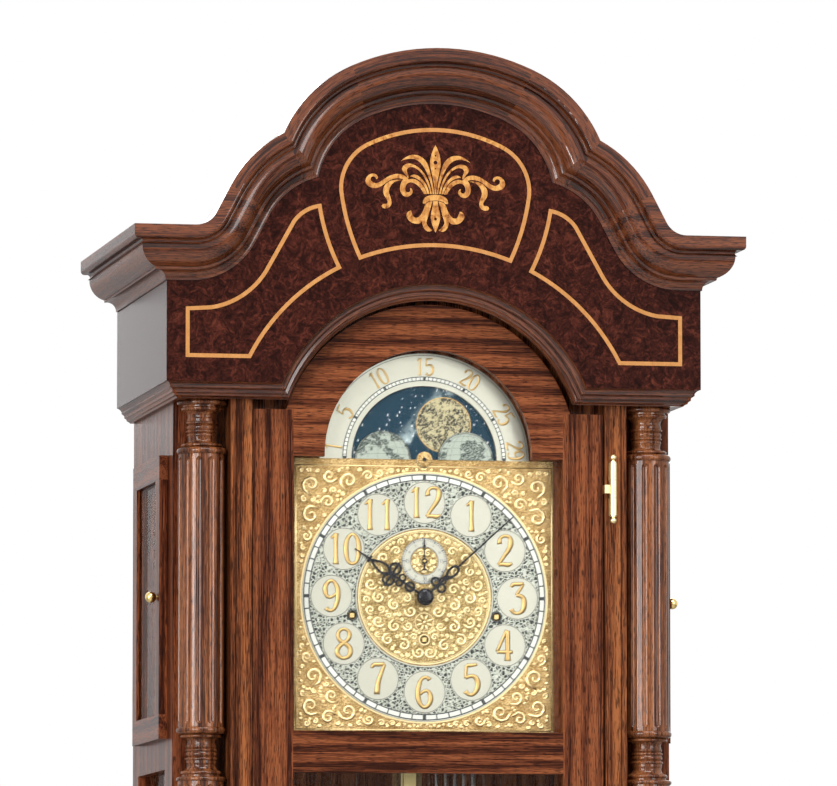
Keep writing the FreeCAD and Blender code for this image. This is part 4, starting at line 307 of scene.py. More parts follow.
# The place in the wood, turned so that its grain runs along z
def grainPlace(tree, way):
    place = objectPlace(tree)
    if way == "z":
        return place
    x, y, z = split(tree, place)
    level = wire(tree, "CombineXYZ", None, z, y, x)
    if way == "x":
        return level.outputs[0]
    deep = wire(tree, "CombineXYZ", None, z, x, y)
    wide = sums(tree, "ABSOLUTE", x)
    if way in arcs:            # front runs along x, returns along y, arched runs round their centres
        return curvedPlace(tree, mixPlaces(tree, onReturns(tree), level, deep), arcs[way])
    if way == "box":           # the front and back along x, the sides along y
        return mixPlaces(tree, sums(tree, "GREATER_THAN", wide, grainLimits["boxSide"]), level, deep)
    if way == "doorFrame":     # stiles along z, rails and the arched head along x
        rail = sums(tree, "LESS_THAN", wide, grainLimits["doorStile"])
        head = sums(tree, "GREATER_THAN", z, grainLimits["doorHead"])
        return mixPlaces(tree, sums(tree, "MAXIMUM", rail, head), place, level)
    if way == "sideFrame":     # a side door's stiles along z, its rails along y
        low = sums(tree, "LESS_THAN", z, grainLimits["lowRail"])
        high = sums(tree, "GREATER_THAN", z, grainLimits["highRail"])
        return mixPlaces(tree, sums(tree, "MAXIMUM", low, high), place, deep)


# 1 on a moulding's returns, behind the mitre line at the case's front corners
def onReturns(tree):
    x, y, _ = split(tree, objectPlace(tree))
    out = minus(tree, sums(tree, "ABSOLUTE", x), grainLimits["mitre"])
    return sums(tree, "GREATER_THAN", out, minus(tree, frontY, y))


# Grain that runs round the arcs' centres, inside the lines that they end on
def curvedPlace(tree, rest, bends):
    x, y, z = split(tree, objectPlace(tree))
    wide = sums(tree, "ABSOLUTE", x)
    for lean, lineX, lineZ, middleX, middleZ, radius in bends:
        reach = times(tree, minus(tree, z, lineZ), lean)
        inside = sums(tree, "LESS_THAN", minus(tree, wide, reach), lineX)
        across, up = minus(tree, wide, middleX), minus(tree, z, middleZ)
        flat = wire(tree, "CombineXYZ", None, across, up, 0.0)
        far = wire(tree, "VectorMath", {"operation": "LENGTH"}, flat)
        along = times(tree, sums(tree, "ARCTAN2", across, up), radius)
        rest = mixPlaces(tree, inside, rest, wire(tree, "CombineXYZ", None, far.outputs["Value"], y, along))
    return rest


def walnut(tree, shader, way, figure=1.0, shade=(1, 1, 1), coat=0.09):
    varnish(tree, shader, coat, 0.10, 0.03)
    tones = {"Light": (0.210, 0.058, 0.021), "Mid": (0.108, 0.026, 0.010), "Dark": (0.024, 0.005, 0.002)}
    # shade scales the tones: a change of colour for some parts, painted light or shade for others (the
    # cornice, hood, posts and inside)
    tones = {label: tuple(a * b for a, b in zip(tone, shade)) for label, tone in tones.items()}
    grain = useGroup(tree, walnutGrain, Place=grainPlace(tree, way), Figure=figure, **tones).outputs
    feedNamed(tree, shader, Base_Color=grain["Color"], Roughness=grain["Rough"],
              Normal=bumps(tree, grain["Height"], 0.16, 0.0004))
    if way in ("crest", "hood"):   # the returns keep a thinner coat
        returnCoat = 0.06
        thinned = timesPlus(tree, onReturns(tree), returnCoat - coat, coat)
        feedNamed(tree, shader, Coat_Weight=thinned)


def burl(tree, shader):
    varnish(tree, shader, 0.09, 0.08, 0.02)
    figure = useGroup(tree, burlFigure, Place=objectPlace(tree)).outputs
    feedNamed(tree, shader, Base_Color=figure["Color"], Roughness=figure["Rough"],
              Normal=bumps(tree, figure["Height"], 0.05))


# Inlay: pale veneer with fine grain; inside the frieze's leaves the tones run through a darker, scorched
# range
def inlayVeneer(tree, shader):
    look = {"leaves": (0.076, 2.076, 0.056),
            "even": [(0.3, (0.34, 0.145, 0.042)), (0.8, (0.46, 0.22, 0.075))],
            "scorched": [(0.36, (0.10, 0.026, 0.008)), (0.47, (0.30, 0.115, 0.03)),
                         (0.60, (0.48, 0.235, 0.066)), (0.80, (0.60, 0.36, 0.125))]}
    varnish(tree, shader, 0.14, 0.08, 0.05)
    place = objectPlace(tree)
    fibre = noise(tree, scaled(tree, place, (1, 1, 0.12)), 520.0, 4.0, 0.6)
    cloud = noise(tree, place, 115.0, 3.0, 0.5, 0.8)
    tone = timesPlus(tree, cloud, 0.75, times(tree, fibre, 0.35))
    x, _, z = split(tree, place)
    half, middle, tall = look["leaves"]
    near = sums(tree, "LESS_THAN", sums(tree, "ABSOLUTE", x), half)
    level = sums(tree, "LESS_THAN", sums(tree, "ABSOLUTE", minus(tree, z, middle)), tall)
    colour = blendColour(tree, times(tree, near, level), ramp(tree, tone, look["even"]),
                         ramp(tree, tone, look["scorched"]))
    feedNamed(tree, shader, Base_Color=colour, Roughness=timesPlus(tree, fibre, 0.15, 0.2))


def metal(tree, shader, colour, rough, spread, size, bump=0.0, tint=0.12, stretch=(1, 1, 1)):
    place = scaled(tree, objectPlace(tree), stretch)
    marks = useGroup(tree, smudges, Place=place, Rough=rough, Spread=spread, Size=size).outputs
    darker = tuple(part * (1 - tint) for part in colour)
    shade = blendColour(tree, marks["Tone"], colour, darker)
    feedNamed(tree, shader, Metallic=1.0, Base_Color=shade, Roughness=marks["Rough"])
    if bump:
        feedNamed(tree, shader, Normal=bumps(tree, marks["Height"], bump))


# The dial plate's ground: matte gilt, stippled between the scrolls
def stippledGilt(tree, shader, colour, dark):
    place = objectPlace(tree)
    dots = cells(tree, place, 900.0)
    cloud = noise(tree, place, 60.0, 4.0)
    mixed = timesPlus(tree, dots, 0.7, times(tree, cloud, 0.5))
    feedNamed(tree, shader, Metallic=1.0, Base_Color=ramp(tree, mixed, [(0.36, colour), (0.66, dark)]),
              Roughness=timesPlus(tree, cloud, 0.2, 0.38), Normal=bumps(tree, dots, 0.6))


# Cast filigree too fine to model: silver curls over a dark ground
def pierced(tree, shader, pale, dark):
    edges = cells(tree, stirred(tree, objectPlace(tree), 260.0, 2.0, 0.5, 0.003), 250.0, "DISTANCE_TO_EDGE")
    shown = between(tree, edges, 0.07, 0.15, kind="SMOOTHSTEP")
    feedNamed(tree, shader, Base_Color=blendColour(tree, shown, pale, dark),
              Roughness=timesPlus(tree, shown, 0.2, 0.32),
              Metallic=timesPlus(tree, shown, -0.7, 0.75),
              Normal=bumps(tree, shown, 0.5, invert=True))


def paint(tree, shader, colour, rough):
    speck = 0.06
    cloud = noise(tree, objectPlace(tree), 240.0, 3.0)
    pale = tuple(min(1.0, part * (1 + speck) + speck * 0.05) for part in colour)
    deep = tuple(part * (1 - speck) for part in colour)
    feedNamed(tree, shader, Base_Color=blendColour(tree, cloud, pale, deep),
              Roughness=timesPlus(tree, cloud, 0.1, rough))


def clearGlass(tree, shader):
    film = noise(tree, objectPlace(tree), 5.0, 2.0)
    feedNamed(tree, shader, Base_Color=(0.97, 0.99, 0.985, 1), Transmission_Weight=1.0, IOR=1.45,
              Alpha=0.14, Roughness=times(tree, film, 0.015))


# The moon disc's sky: deep blue with a pale milky band
def nightSky(tree, shader):
    look = {"turn": 49.5, "out": 0.031, "wide": 0.012, "drift": 0.03, "sky": (0.002, 0.026, 0.046),
            "milk": (0.42, 0.52, 0.52)}
    varnish(tree, shader, 0.05, 0.2, 0.2)
    place = wire(tree, "Mapping", None, objectPlace(tree), (0, 0, -archZ))
    turned = wire(tree, "Mapping", None, place, None, (0, math.radians(look["turn"]), 0))
    cloud = noise(tree, place, 60.0, 7.0, 0.7)
    away = minus(tree, split(tree, turned)[2], look["out"])
    away = timesPlus(tree, minus(tree, cloud, 0.5), look["drift"], away)
    near = between(tree, sums(tree, "ABSOLUTE", away), 0.0, look["wide"], 1.0, 0.0, "SMOOTHSTEP")
    milky = times(tree, near, between(tree, cloud, 0.38, 0.66))
    feedNamed(tree, shader, Base_Color=blendColour(tree, milky, look["sky"], look["milk"]),
              Roughness=timesPlus(tree, cloud, 0.15, 0.3))


# A moon's face: pale gold plains, dark seas and craters
def moonFace(tree, shader):
    place = objectPlace(tree)
    seas = noise(tree, place, 150.0, 6.0, 0.66)
    sea = between(tree, seas, 0.43, 0.50, kind="SMOOTHSTEP")
    rim = sums(tree, "ABSOLUTE", minus(tree, cells(tree, place, 420.0), 0.24))
    rim = between(tree, rim, 0.0, 0.10, 0.9, 0.0)
    spots = between(tree, noise(tree, place, 700.0, 3.0), 0.42, 0.49)
    marks = sums(tree, "MAXIMUM", times(tree, sea, spots), times(tree, rim, spots))
    feedNamed(tree, shader, Base_Color=blendColour(tree, marks, (0.44, 0.39, 0.22), (0.012, 0.012, 0.008)),
              Roughness=timesPlus(tree, seas, 0.2, 0.3), Metallic=0.25)


# The half globes: silver seas, land stippled darker with a drawn coast
def mapSilver(tree, shader):
    place = objectPlace(tree)
    land = noise(tree, place, 46.0, 6.0, 0.6)
    coast = between(tree, sums(tree, "ABSOLUTE", minus(tree, land, 0.52)), 0.0, 0.012, 1.0, 0.0)
    dots = noise(tree, place, 900.0, 1.0)
    inland = sums(tree, "GREATER_THAN", land, 0.50)
    marks = sums(tree, "MAXIMUM", coast, times(tree, inland, between(tree, dots, 0.44, 0.52)))
    feedNamed(tree, shader, Base_Color=blendColour(tree, marks, (0.34, 0.38, 0.32), (0.015, 0.028, 0.024)),
              Roughness=timesPlus(tree, dots, 0.1, 0.33), Metallic=0.55)


def floorPaint(tree, shader):
    cloud = noise(tree, objectPlace(tree), 0.8, 3.0)
    shade = blendColour(tree, cloud, (0.66, 0.66, 0.65), (0.62, 0.62, 0.61))
    feedNamed(tree, shader, Base_Color=shade, Specular_IOR_Level=0.2, Roughness=0.55)


walnutGrain = makeWalnutGroup()
burlFigure = makeBurlGroup()
smudges = makeSmudgeGroup()
drawnOut = (1, 1, 0.05)    # marks drawn out along z
recipes = [
    (walnut, {
        "walnutUp": ("z",),
        "walnutTurned": ("z", 0.8, (1.16, 1.45, 1.4), 0.5),
        "walnutLevel": ("x",),
        "walnutMitred": ("mitred",),
        # the cornice's tones are scaled darker: painted shade for its downward-facing cove
        "walnutCrestPaintedShade": ("crest", 0.8, (0.66, 0.68, 0.68), 0.85),
        # the hood moulding's tones are scaled darker: painted shade for its downward-facing curves
        "walnutHoodPaintedShade": ("hood", 0.8, (0.80, 0.84, 0.84), 1.0),
        # the posts' tones are scaled lighter and browner: partly their own browner wood, partly painted
        # light for how brightly they are lit
        "walnutPostToneAndPaintedLight": ("z", 1.0, (1.25, 1.5, 1.4)),
        "walnutDoor": ("doorFrame", 1.25, (1, 1.1, 1.12)),
        "walnutBox": ("box",),
        "walnutSideDoor": ("sideFrame",),
        # the inside's tones are scaled lighter and greyer: painted reflection, the grey haze that the lower
        # glass shows over the back board
        "walnutInsidePaintedReflection": ("z", 0.7, (1.1, 1.35, 1.5)),
    }),
    (metal, {                  # colour, roughness and its spread, the marks' size, bump, tint, stretch
        "polishedBrass": ((0.87, 0.63, 0.25), 0.16, 0.14, 22.0),
        "hingeBrass": ((0.80, 0.65, 0.35), 0.36, 0.1, 60.0),
        "rodBrass": ((0.92, 0.76, 0.36), 0.48, 0.1, 60.0, 0.1, 0.1, drawnOut),
        "brushedBrass": ((0.80, 0.58, 0.25), 0.32, 0.12, 50.0, 0.15, 0.12, drawnOut),
        "giltScroll": ((0.88, 0.69, 0.36), 0.34, 0.1, 80.0),
        "roseScroll": ((0.86, 0.71, 0.39), 0.34, 0.1, 80.0),
        "numeralGold": ((0.56, 0.38, 0.15), 0.42, 0.08, 120.0),
        "satinSilver": ((0.50, 0.495, 0.41), 0.38, 0.08, 60.0, 0.05, 0.06),
        "filigreeSilver": ((0.52, 0.54, 0.46), 0.36, 0.08, 90.0),
        "blackenedSteel": ((0.035, 0.035, 0.038), 0.28, 0.1, 80.0),
        "brightSteel": ((0.62, 0.62, 0.61), 0.24, 0.1, 40.0, 0.08, 0.1, (1, 1, 0.1)),
    }),
    (stippledGilt, {
        "giltGround": ((0.80, 0.59, 0.28), (0.24, 0.14, 0.045)),
        "roseGround": ((0.80, 0.62, 0.30), (0.20, 0.13, 0.045)),
    }),
    (pierced, {"filigreeGround": ((0.50, 0.52, 0.44), (0.012, 0.018, 0.014))}),
    (paint, {
        "dialInk": ((0.018, 0.024, 0.024), 0.45),
        "blueInk": ((0.012, 0.025, 0.07), 0.45),
        "trackWhite": ((0.66, 0.67, 0.60), 0.4),
        "starWhite": ((0.95, 0.97, 0.98), 0.4),
    }),
    (burl, {"burl": ()}),
    (inlayVeneer, {"inlayVeneer": ()}),
    (clearGlass, {"clearGlass": ()}),
    (nightSky, {"nightSky": ()}),
    (moonFace, {"moonFace": ()}),
    (mapSilver, {"mapSilver": ()}),
]
finish = {name: newMaterial(make, name, *settings)
          for make, kinds in recipes for name, settings in kinds.items()}

nodeFinish = {
    "walnutUp": ["left_side", "right_side"],
    "walnutPostToneAndPaintedLight": ["left_post", "right_post"],
    "walnutTurned": ["left_column", "right_column"],
    "walnutLevel": ["floor_board", "roof_board", "seatboard"],
    "walnutBox": ["base_box"],
    "walnutMitred": ["plinth", "waist_moulding"],
    "walnutCrestPaintedShade": ["cornice"],
    "walnutHoodPaintedShade": ["hood_moulding"],
    "walnutDoor": ["door_frame"],
    "walnutSideDoor": ["left_door_frame", "right_door_frame"],
    "walnutInsidePaintedReflection": ["back_board", "dial_mask"],
    "burl": ["frieze", "base_panel"],
    "inlayVeneer": ["frieze_inlay"],
    "clearGlass": ["side_glasses", "door_glasses", "left_door_glass", "right_door_glass"],
    "hingeBrass": ["post_hinges", "door_hinges"],
    "rodBrass": ["pendulum_rod"],
    "polishedBrass": ["left_door_fittings", "right_door_fittings", "left_weight", "centre_weight",
                      "right_weight", "left_pulley", "centre_pulley", "right_pulley", "pendulum_bob",
                      "great_wheel", "centre_wheel", "third_wheel", "escape_wheel"],
    "brushedBrass": ["movement_plates", "left_drum", "centre_drum", "right_drum"],
    "giltGround": ["dial_plate"],
    "roseGround": ["dial_centre"],
    "satinSilver": ["dial_rings"],
    "mapSilver": ["globe_humps"],
    "nightSky": ["moon_disc"],
    "blackenedSteel": ["hour_hand", "minute_hand", "seconds_hand"],
    "brightSteel": ["chime_rods", "hammers", "anchor"],
}
for label, names in nodeFinish.items():
    for name in names:
        materials = nodes[name].data.materials
        materials.clear()
        materials.append(finish[label])
print("finishes on", sum(len(names) for names in nodeFinish.values()), "nodes")


# Making pieces
def selectNone():
    if bpy.context.object and bpy.context.object.mode != "OBJECT":
        bpy.ops.object.mode_set(mode="OBJECT")
    bpy.ops.object.select_all(action="DESELECT")


def finishPiece(piece, name, body, label):
    piece.name = name
    piece.data.name = name
    piece.data.materials.clear()
    piece.data.materials.append(finish[label])
    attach(piece, body)


def applyAll(piece):
    selectNone()
    piece.select_set(True)
    bpy.context.view_layer.objects.active = piece
    for modifier in list(piece.modifiers):
        bpy.ops.object.modifier_apply(modifier=modifier.name)
    bpy.ops.object.transform_apply(location=True, rotation=True, scale=True)


def editAll():
    bpy.ops.object.mode_set(mode="EDIT")
    bpy.ops.mesh.select_all(action="SELECT")


def tidyMesh(piece, merge=0.000002):
    bpy.context.view_layer.objects.active = piece
    editAll()
    bpy.ops.mesh.remove_doubles(threshold=merge)
    bpy.ops.mesh.normals_make_consistent(inside=False)
    bpy.ops.object.mode_set(mode="OBJECT")


# A spot on the dial, given in millimetres from a centre
def spotAt(x, z, centreZ=dialZ):
    return x / 1000, centreZ + z / 1000


# Drawn lines about a spot, standing proud of a face like cast relief. Each point is (across, up, half
# width) in millimetres, with its depth as a fourth where the line leaves the face
def drawLines(lines, spot, face, rise, smooth, sides):
    selectNone()
    bpy.ops.curve.primitive_nurbs_path_add()
    curve = bpy.context.object.data
    curve.splines.clear()
    for points in lines:
        if len(points) == 2:
            points = [points[0], tuple((a + b) / 2 for a, b in zip(*points)), points[1]]
        spline = curve.splines.new("NURBS")
        spline.points.add(len(points) - 1)
        for corner, (across, up, half, *deep) in zip(spline.points, points):
            corner.co = (across / 1000, sum(deep) / 1000, up / 1000, 1)
            corner.radius = half
        spline.order_u = 3
        spline.use_endpoint_u = True
        spline.resolution_u = smooth
    curve.bevel_depth = 0.001
    curve.bevel_resolution = sides
    curve.use_fill_caps = True
    bpy.ops.object.convert(target="MESH")
    piece = bpy.context.object
    piece.scale = (1, rise, 1)
    piece.location = (spot[0], face, spot[1])
    applyAll(piece)
    tidyMesh(piece)
    bpy.ops.object.shade_smooth()
    return piece


# A small shape at a distance from the y axis, turned about it by start and selected for a spin
def startShape(add, scale, distance, start):
    selectNone()
    add(size=1, location=(0, 0, 0))
    piece = bpy.context.object
    piece.scale = [part / 1000 for part in scale]
    piece.location = (distance / 1000, 0, 0)
    applyAll(piece)
    piece.data.transform(Matrix.Rotation(-math.radians(start), 4, "Y"))
    editAll()
    return piece


# Ends the spin: the shape stands on a face, thick proud of it
def setOn(piece, spot, face, thick, merge=0.000002):
    bpy.ops.object.mode_set(mode="OBJECT")
    piece.location = (spot[0], face - thick / 2000, spot[1])
    applyAll(piece)
    tidyMesh(piece, merge)
    return piece


# A flat ring, or part of one
def makeBand(outer, inner, spot, face, thick, start=0.0, sweep=360.0, steps=120):
    piece = startShape(bpy.ops.mesh.primitive_plane_add, (outer - inner, thick, 1000), (outer + inner) / 2,
                       start)
    full = sweep >= 360
    if full:
        bpy.ops.mesh.delete(type="ONLY_FACE")
        bpy.ops.mesh.select_all(action="SELECT")
    bpy.ops.mesh.spin(steps=int(steps * sweep / 360), angle=math.radians(sweep), center=(0, 0, 0),
                      axis=(0, 1, 0))
    if full:
        bpy.ops.mesh.select_all(action="SELECT")
        bpy.ops.mesh.remove_doubles(threshold=0.000002)
    return setOn(piece, spot, face, thick)


# One small block on a circle, repeated evenly round it
def makeTicks(count, radius, wide, tall, spot, face, thick, start=90.0, sweep=360.0):
    piece = startShape(bpy.ops.mesh.primitive_cube_add, (tall, thick, wide), radius, start)
    last = sweep if sweep < 360 else sweep * (count - 1) / count
    bpy.ops.mesh.spin(steps=count - 1, angle=math.radians(last), center=(0, 0, 0), axis=(0, 1, 0),
                      dupli=True)
    return setOn(piece, spot, face, thick, 0.0000001)


def joinPieces(pieces):
    selectNone()
    for piece in pieces:
        piece.select_set(True)
    bpy.context.view_layer.objects.active = pieces[0]
    bpy.ops.object.join()
    return bpy.context.object


# Scrollwork: curls packed into a place, each growing from its neighbour, drawn as tapering relief
def curlLine(x, z, size, angle, hand, thick):
    turns, steps, inward, ease, eye = 1.35, 13, 0.84, 0.85, 1.05
    points = []
    for i in range(steps + 1):
        t = i / steps
        reach = size * (1 - inward * t ** ease)
        turn = angle + hand * 2 * math.pi * turns * t
        half = thick * (0.45 + 0.65 * math.sin(math.pi * min(1.0, 0.15 + t)))
        points.append((x + reach * math.cos(turn), z + reach * math.sin(turn), half))
    points[-1] = (*points[-1][:2], thick * eye)
    return points


def packCurls(allowed, reach, sizes, seed, thick, tries):
    dice = random.Random(seed)
    spacing, share = 0.97, 0.93
    spots, lines = [], []
    for size in sizes:
        for _ in range(tries):
            x = dice.uniform(reach[0], reach[1])
            z = dice.uniform(reach[2], reach[3])
            if not allowed(x, z, size):
                continue
            if any(math.hypot(x - a, z - b) < (size + c) * spacing for a, b, c in spots):
                continue
            near = min(spots, key=lambda s: math.hypot(x - s[0], z - s[1]) - s[2], default=None)
            angle = math.atan2(near[1] - z, near[0] - x) if near else dice.uniform(0, 6.283)
            hand = 1 if dice.random() < 0.5 else -1
            spots.append((x, z, size))
            width = thick * (0.55 + 0.45 * size / sizes[0])
            lines.append(curlLine(x, z, size * share, angle, hand, width))
    return lines


def mirrored(lines):
    return lines + [[(-x, z, half) for x, z, half in line] for line in lines]


def turnedLines(lines, degrees, about=(0.0, 0.0)):
    c, s = math.cos(math.radians(degrees)), math.sin(math.radians(degrees))
    a, b = about
    return [[(a + (x - a) * c - (z - b) * s, b + (x - a) * s + (z - b) * c, half) for x, z, half in line]
            for line in lines]


# Figures: each is a few pen strokes of (across, up, half width) in shares of its height
figures = {
    "0": [[(0, 1, .04), (.17, .9, .06), (.225, .5, .085), (.17, .1, .06), (0, 0, .04), (-.17, .1, .06),
           (-.225, .5, .085), (-.17, .9, .06), (0, 1, .04)]],
    "1": [[(-.15, .83, .03), (-.06, .9, .045), (.02, .98, .05)],
          [(.03, 1, .085), (.02, .84, .06), (.02, .5, .06), (.02, .16, .065), (.02, 0, .095)]],
    "2": [[(-.17, .72, .085), (-.2, .88, .05), (-.04, 1, .04), (.16, .97, .06), (.22, .78, .085),
           (.14, .55, .075), (-.08, .26, .05), (-.21, .05, .05)],
          [(-.21, .05, .05), (-.05, .09, .06), (.12, .03, .075), (.24, .12, .035)]],
    "3": [[(-.2, .86, .05), (-.16, .97, .06), (.04, .95, .06), (.21, .98, .05)],
          [(.21, .97, .04), (.1, .8, .045), (-.03, .6, .05)],
          [(-.04, .6, .05), (.16, .6, .065), (.25, .38, .09), (.2, .1, .075), (.02, 0, .045),
           (-.14, .03, .05), (-.19, .15, .085)]],
    "4": [[(.06, 1, .05), (-.1, .64, .045), (-.26, .3, .05)],
          [(-.26, .29, .05), (0, .28, .055), (.26, .29, .05)],
          [(.09, .98, .06), (.09, .5, .065), (.09, .15, .065), (.09, 0, .095)]],
    "5": [[(-.14, .96, .06), (.04, .95, .06), (.2, 1, .04)],
          [(-.15, .97, .05), (-.16, .75, .045), (-.18, .54, .045)],
          [(-.18, .54, .04), (0, .66, .055), (.21, .54, .085), (.24, .26, .09), (.1, .02, .055),
           (-.08, 0, .045), (-.19, .13, .085)]],
    "6": [[(.17, .88, .075), (.08, 1, .04), (-.12, .92, .055), (-.22, .6, .08), (-.22, .25, .085),
           (-.08, 0, .05), (.1, .01, .055), (.23, .25, .085), (.16, .52, .06), (-.02, .56, .04),
           (-.19, .38, .04)]],
    "7": [[(-.2, .84, .045), (-.17, .97, .06), (.02, .95, .065), (.22, .98, .05)],
          [(.22, .97, .045), (.08, .62, .065), (-.02, .3, .08), (-.03, 0, .095)]],
    "8": [[(0, .53, .055), (.18, .62, .06), (.2, .88, .06), (0, 1, .04), (-.2, .88, .06), (-.18, .62, .06),
           (0, .53, .06), (.22, .38, .08), (.22, .12, .075), (0, 0, .045), (-.22, .12, .075),
           (-.22, .38, .08), (0, .53, .055)]],
}
figures["9"] = [[(-x, 1 - z, half) for x, z, half in line] for line in figures["6"]]


def writeNumber(text, tall, across, level, weight):
    figureWidth = 0.56
    lines = []
    for i, figure in enumerate(text):
        middle = across + figureWidth * tall * (i - (len(text) - 1) / 2)
        for line in figures[figure]:
            lines.append([(middle + x * tall, level + (z - 0.5) * tall, half * tall * weight)
                          for x, z, half in line])
    return lines


# The hour ring: filigree between the plaques, their outlines and numbers, and the minute track
def dressHourRing():
    size = {"face": frontY + 0.0605, "plaqueFace": frontY + 0.0599, "plaques": 100.5, "plaqueRoom": 23.4,
            "plaqueRim": (22.3, 21.75), "ground": (123.8, 74.2), "clear": (76.0, 123.2), "number": 33.0,
            "shadow": 0.28, "track": (124.6, 130.2), "line": 0.6, "beads": [(131.9, 131.1), (74.4, 73.2)],
            "inner": (75.2, 74.6), "minutes": (60, 127.4, 1.3, 5.0), "hours": (12, 127.4, 3.6, 4.6),
            "holes": [(-78, -20), (78, -20)], "holeRim": (6.0, 4.7), "holeRoom": 6.2, "drill": 0.0056,
            "curls": (4.2, 3.4, 2.7, 2.1, 1.6, 1.25), "seed": 4}
    spot = (0, dialZ)
    face, holes = size["face"], size["holes"]
    ground = makeBand(*size["ground"], spot, face, 0.12)
    for hole in holes:
        x, z = spotAt(*hole)
        bpy.ops.mesh.primitive_cylinder_add(vertices=32, radius=size["drill"], depth=0.01,
                                            rotation=(math.pi / 2, 0, 0), location=(x, face, z))
        drill = bpy.context.object
        cutter = ground.modifiers.new("hole", "BOOLEAN")
        cutter.object = drill
        cutter.operation = "DIFFERENCE"
        cutter.solver = "EXACT"
        applyAll(ground)
        bpy.data.objects.remove(drill)
    finishPiece(ground, "filigreeGround", "case", "filigreeGround")

    angles = [math.radians(30 * k) for k in range(12)]
    plaques = [(size["plaques"] * math.sin(turn), size["plaques"] * math.cos(turn)) for turn in angles]

    def clear(x, z, room):
        low, high = size["clear"]
        return (low + room < math.hypot(x, z) < high - room
                and min(math.hypot(x - a, z - b) for a, b in plaques) >= size["plaqueRoom"] + room
                and min(math.hypot(x - a, z - b) for a, b in holes) > size["holeRoom"] + room)

    lines = packCurls(clear, (0, 124, -124, 124), size["curls"], size["seed"], 0.66, 5200)
    filigree = drawLines(mirrored(lines), spot, face - 0.0001, 0.55, 1, 0)
    finishPiece(filigree, "hourFiligree", "case", "filigreeSilver")

    low, high = size["track"]
    rims = [makeBand(*size["plaqueRim"], spotAt(*plaque), size["plaqueFace"], 0.08, steps=64)
            for plaque in plaques]
    rims += [makeBand(*size["holeRim"], spotAt(*hole), face, 0.5, steps=40) for hole in holes]
    rims += [makeBand(edge + size["line"], edge - size["line"], spot, face, 0.1) for edge in (high, low)]
    rims += [makeTicks(*size["minutes"], spot, face, 0.16), makeTicks(*size["hours"], spot, face, 0.2),
             makeBand(*size["inner"], spot, face, 0.25)]
    finishPiece(joinPieces(rims), "hourRingInk", "case", "dialInk")
    white = makeBand(high, low, spot, face, 0.06)
    finishPiece(white, "minuteTrack", "case", "trackWhite")
    beads = [makeBand(*bead, spot, face, 0.7) for bead in size["beads"]]
    finishPiece(joinPieces(beads), "hourRingBeads", "case", "satinSilver")

    numbers = []
    for k, (x, z) in enumerate(plaques):
        numbers += writeNumber(str(k or 12), size["number"], x, z, 1.12)
    figure = drawLines(numbers, spot, size["plaqueFace"], 0.22, 4, 1)
    finishPiece(figure, "hourNumbers", "case", "numeralGold")
    # a dark outline a little wider than the gold strokes, laid on the plaque with them: painted shadow
    # round the raised numbers
    outline = [[(x, z, half + size["shadow"]) for x, z, half in line] for line in numbers]
    shadow = drawLines(outline, spot, size["plaqueFace"], 0.05, 4, 1)
    finishPiece(shadow, "hourNumberShadows", "case", "dialInk")


# The middle of the dial: scrollwork, a rosette, the seconds marks and the rim
def dressCentre():
    size = {"face": frontY + 0.0614, "clear": (10.5, 68.6), "seconds": 38.5, "secondsFace": frontY + 0.0606,
            "secondsRoom": (25.0, 14.2, 4.0), "secondsMarks": (60, 23.0, 0.42, 1.5),
            "fives": (12, 22.6, 1.0, 2.4), "secondsRims": [(24.3, 23.8), (22.1, 21.9), (15.5, 15.0)],
            "secondsNumbers": 18.6, "rosette": -26.7, "rosetteRoom": 10.6, "rosetteRim": (10.4, 9.7),
            "petals": 8, "hole": -45, "holeRoom": 6.0, "holeRim": (6.0, 4.7),
            "rims": [(71.6, 70.2, 0.9), (69.4, 68.9, 0.5)],
            "curls": (8.2, 6.4, 5.0, 4.0, 3.2, 2.5, 1.9, 1.5), "seed": 11}
    spot = (0, dialZ)
    face, middle = size["face"], size["rosette"]

    def clear(x, z, room):
        low, high = size["clear"]
        outside, inside, heart = size["secondsRoom"]
        offRing = math.hypot(x, z - size["seconds"])
        return (low + room <= math.hypot(x, z) <= high - room
                and (offRing > outside + room or heart + room < offRing < inside - room)
                and math.hypot(x, z - middle) >= size["rosetteRoom"] + room
                and math.hypot(x, z - size["hole"]) > size["holeRoom"] + room)

    lines = packCurls(clear, (0, 70, -70, 70), size["curls"], size["seed"], 1.45, 2600)
    scrolls = drawLines(mirrored(lines), spot, face, 0.62, 1, 1)
    finishPiece(scrolls, "centreScrolls", "case", "roseScroll")

    petal = [[(0, middle + 3, 0.5), (0, middle + 6, 2.0), (0, middle + 9.2, 0.6)]]
    step = 360 / size["petals"]
    petals = [line for k in range(size["petals"])
              for line in turnedLines(petal, step * (k + 0.5), (0, middle))]
    heart = [(-1.2, middle, 1.9), (0, middle, 2.1), (1.2, middle, 1.9)]
    rims = [drawLines(petals + [heart], spot, face, 0.5, 3, 1),
            makeBand(*size["rosetteRim"], spotAt(0, middle), face, 0.6, steps=48)]
    rims += [makeBand(outer, inner, spot, face, thick) for outer, inner, thick in size["rims"]]
    rims.append(makeBand(*size["holeRim"], spotAt(0, size["hole"]), face, 0.6, steps=40))
    finishPiece(joinPieces(rims), "centreRims", "case", "roseScroll")

    ring, face = spotAt(0, size["seconds"]), size["secondsFace"]
    marks = [makeTicks(*size["secondsMarks"], ring, face, 0.08), makeTicks(*size["fives"], ring, face, 0.1)]
    marks += [makeBand(*rim, ring, face, 0.08, steps=80) for rim in size["secondsRims"]]
    numbers = []
    for second in (15, 30, 45, 60, 5, 10, 20, 25, 35, 40, 50, 55):
        turn = math.radians(second % 60 * 6)
        tall = 4.2 if second % 15 == 0 else 2.4
        numbers += writeNumber(str(second), tall, size["secondsNumbers"] * math.sin(turn),
                               size["secondsNumbers"] * math.cos(turn), 0.8)
    marks.append(drawLines(numbers, ring, face, 0.15, 2, 0))
    finishPiece(joinPieces(marks), "secondsMarks", "case", "blueInk")


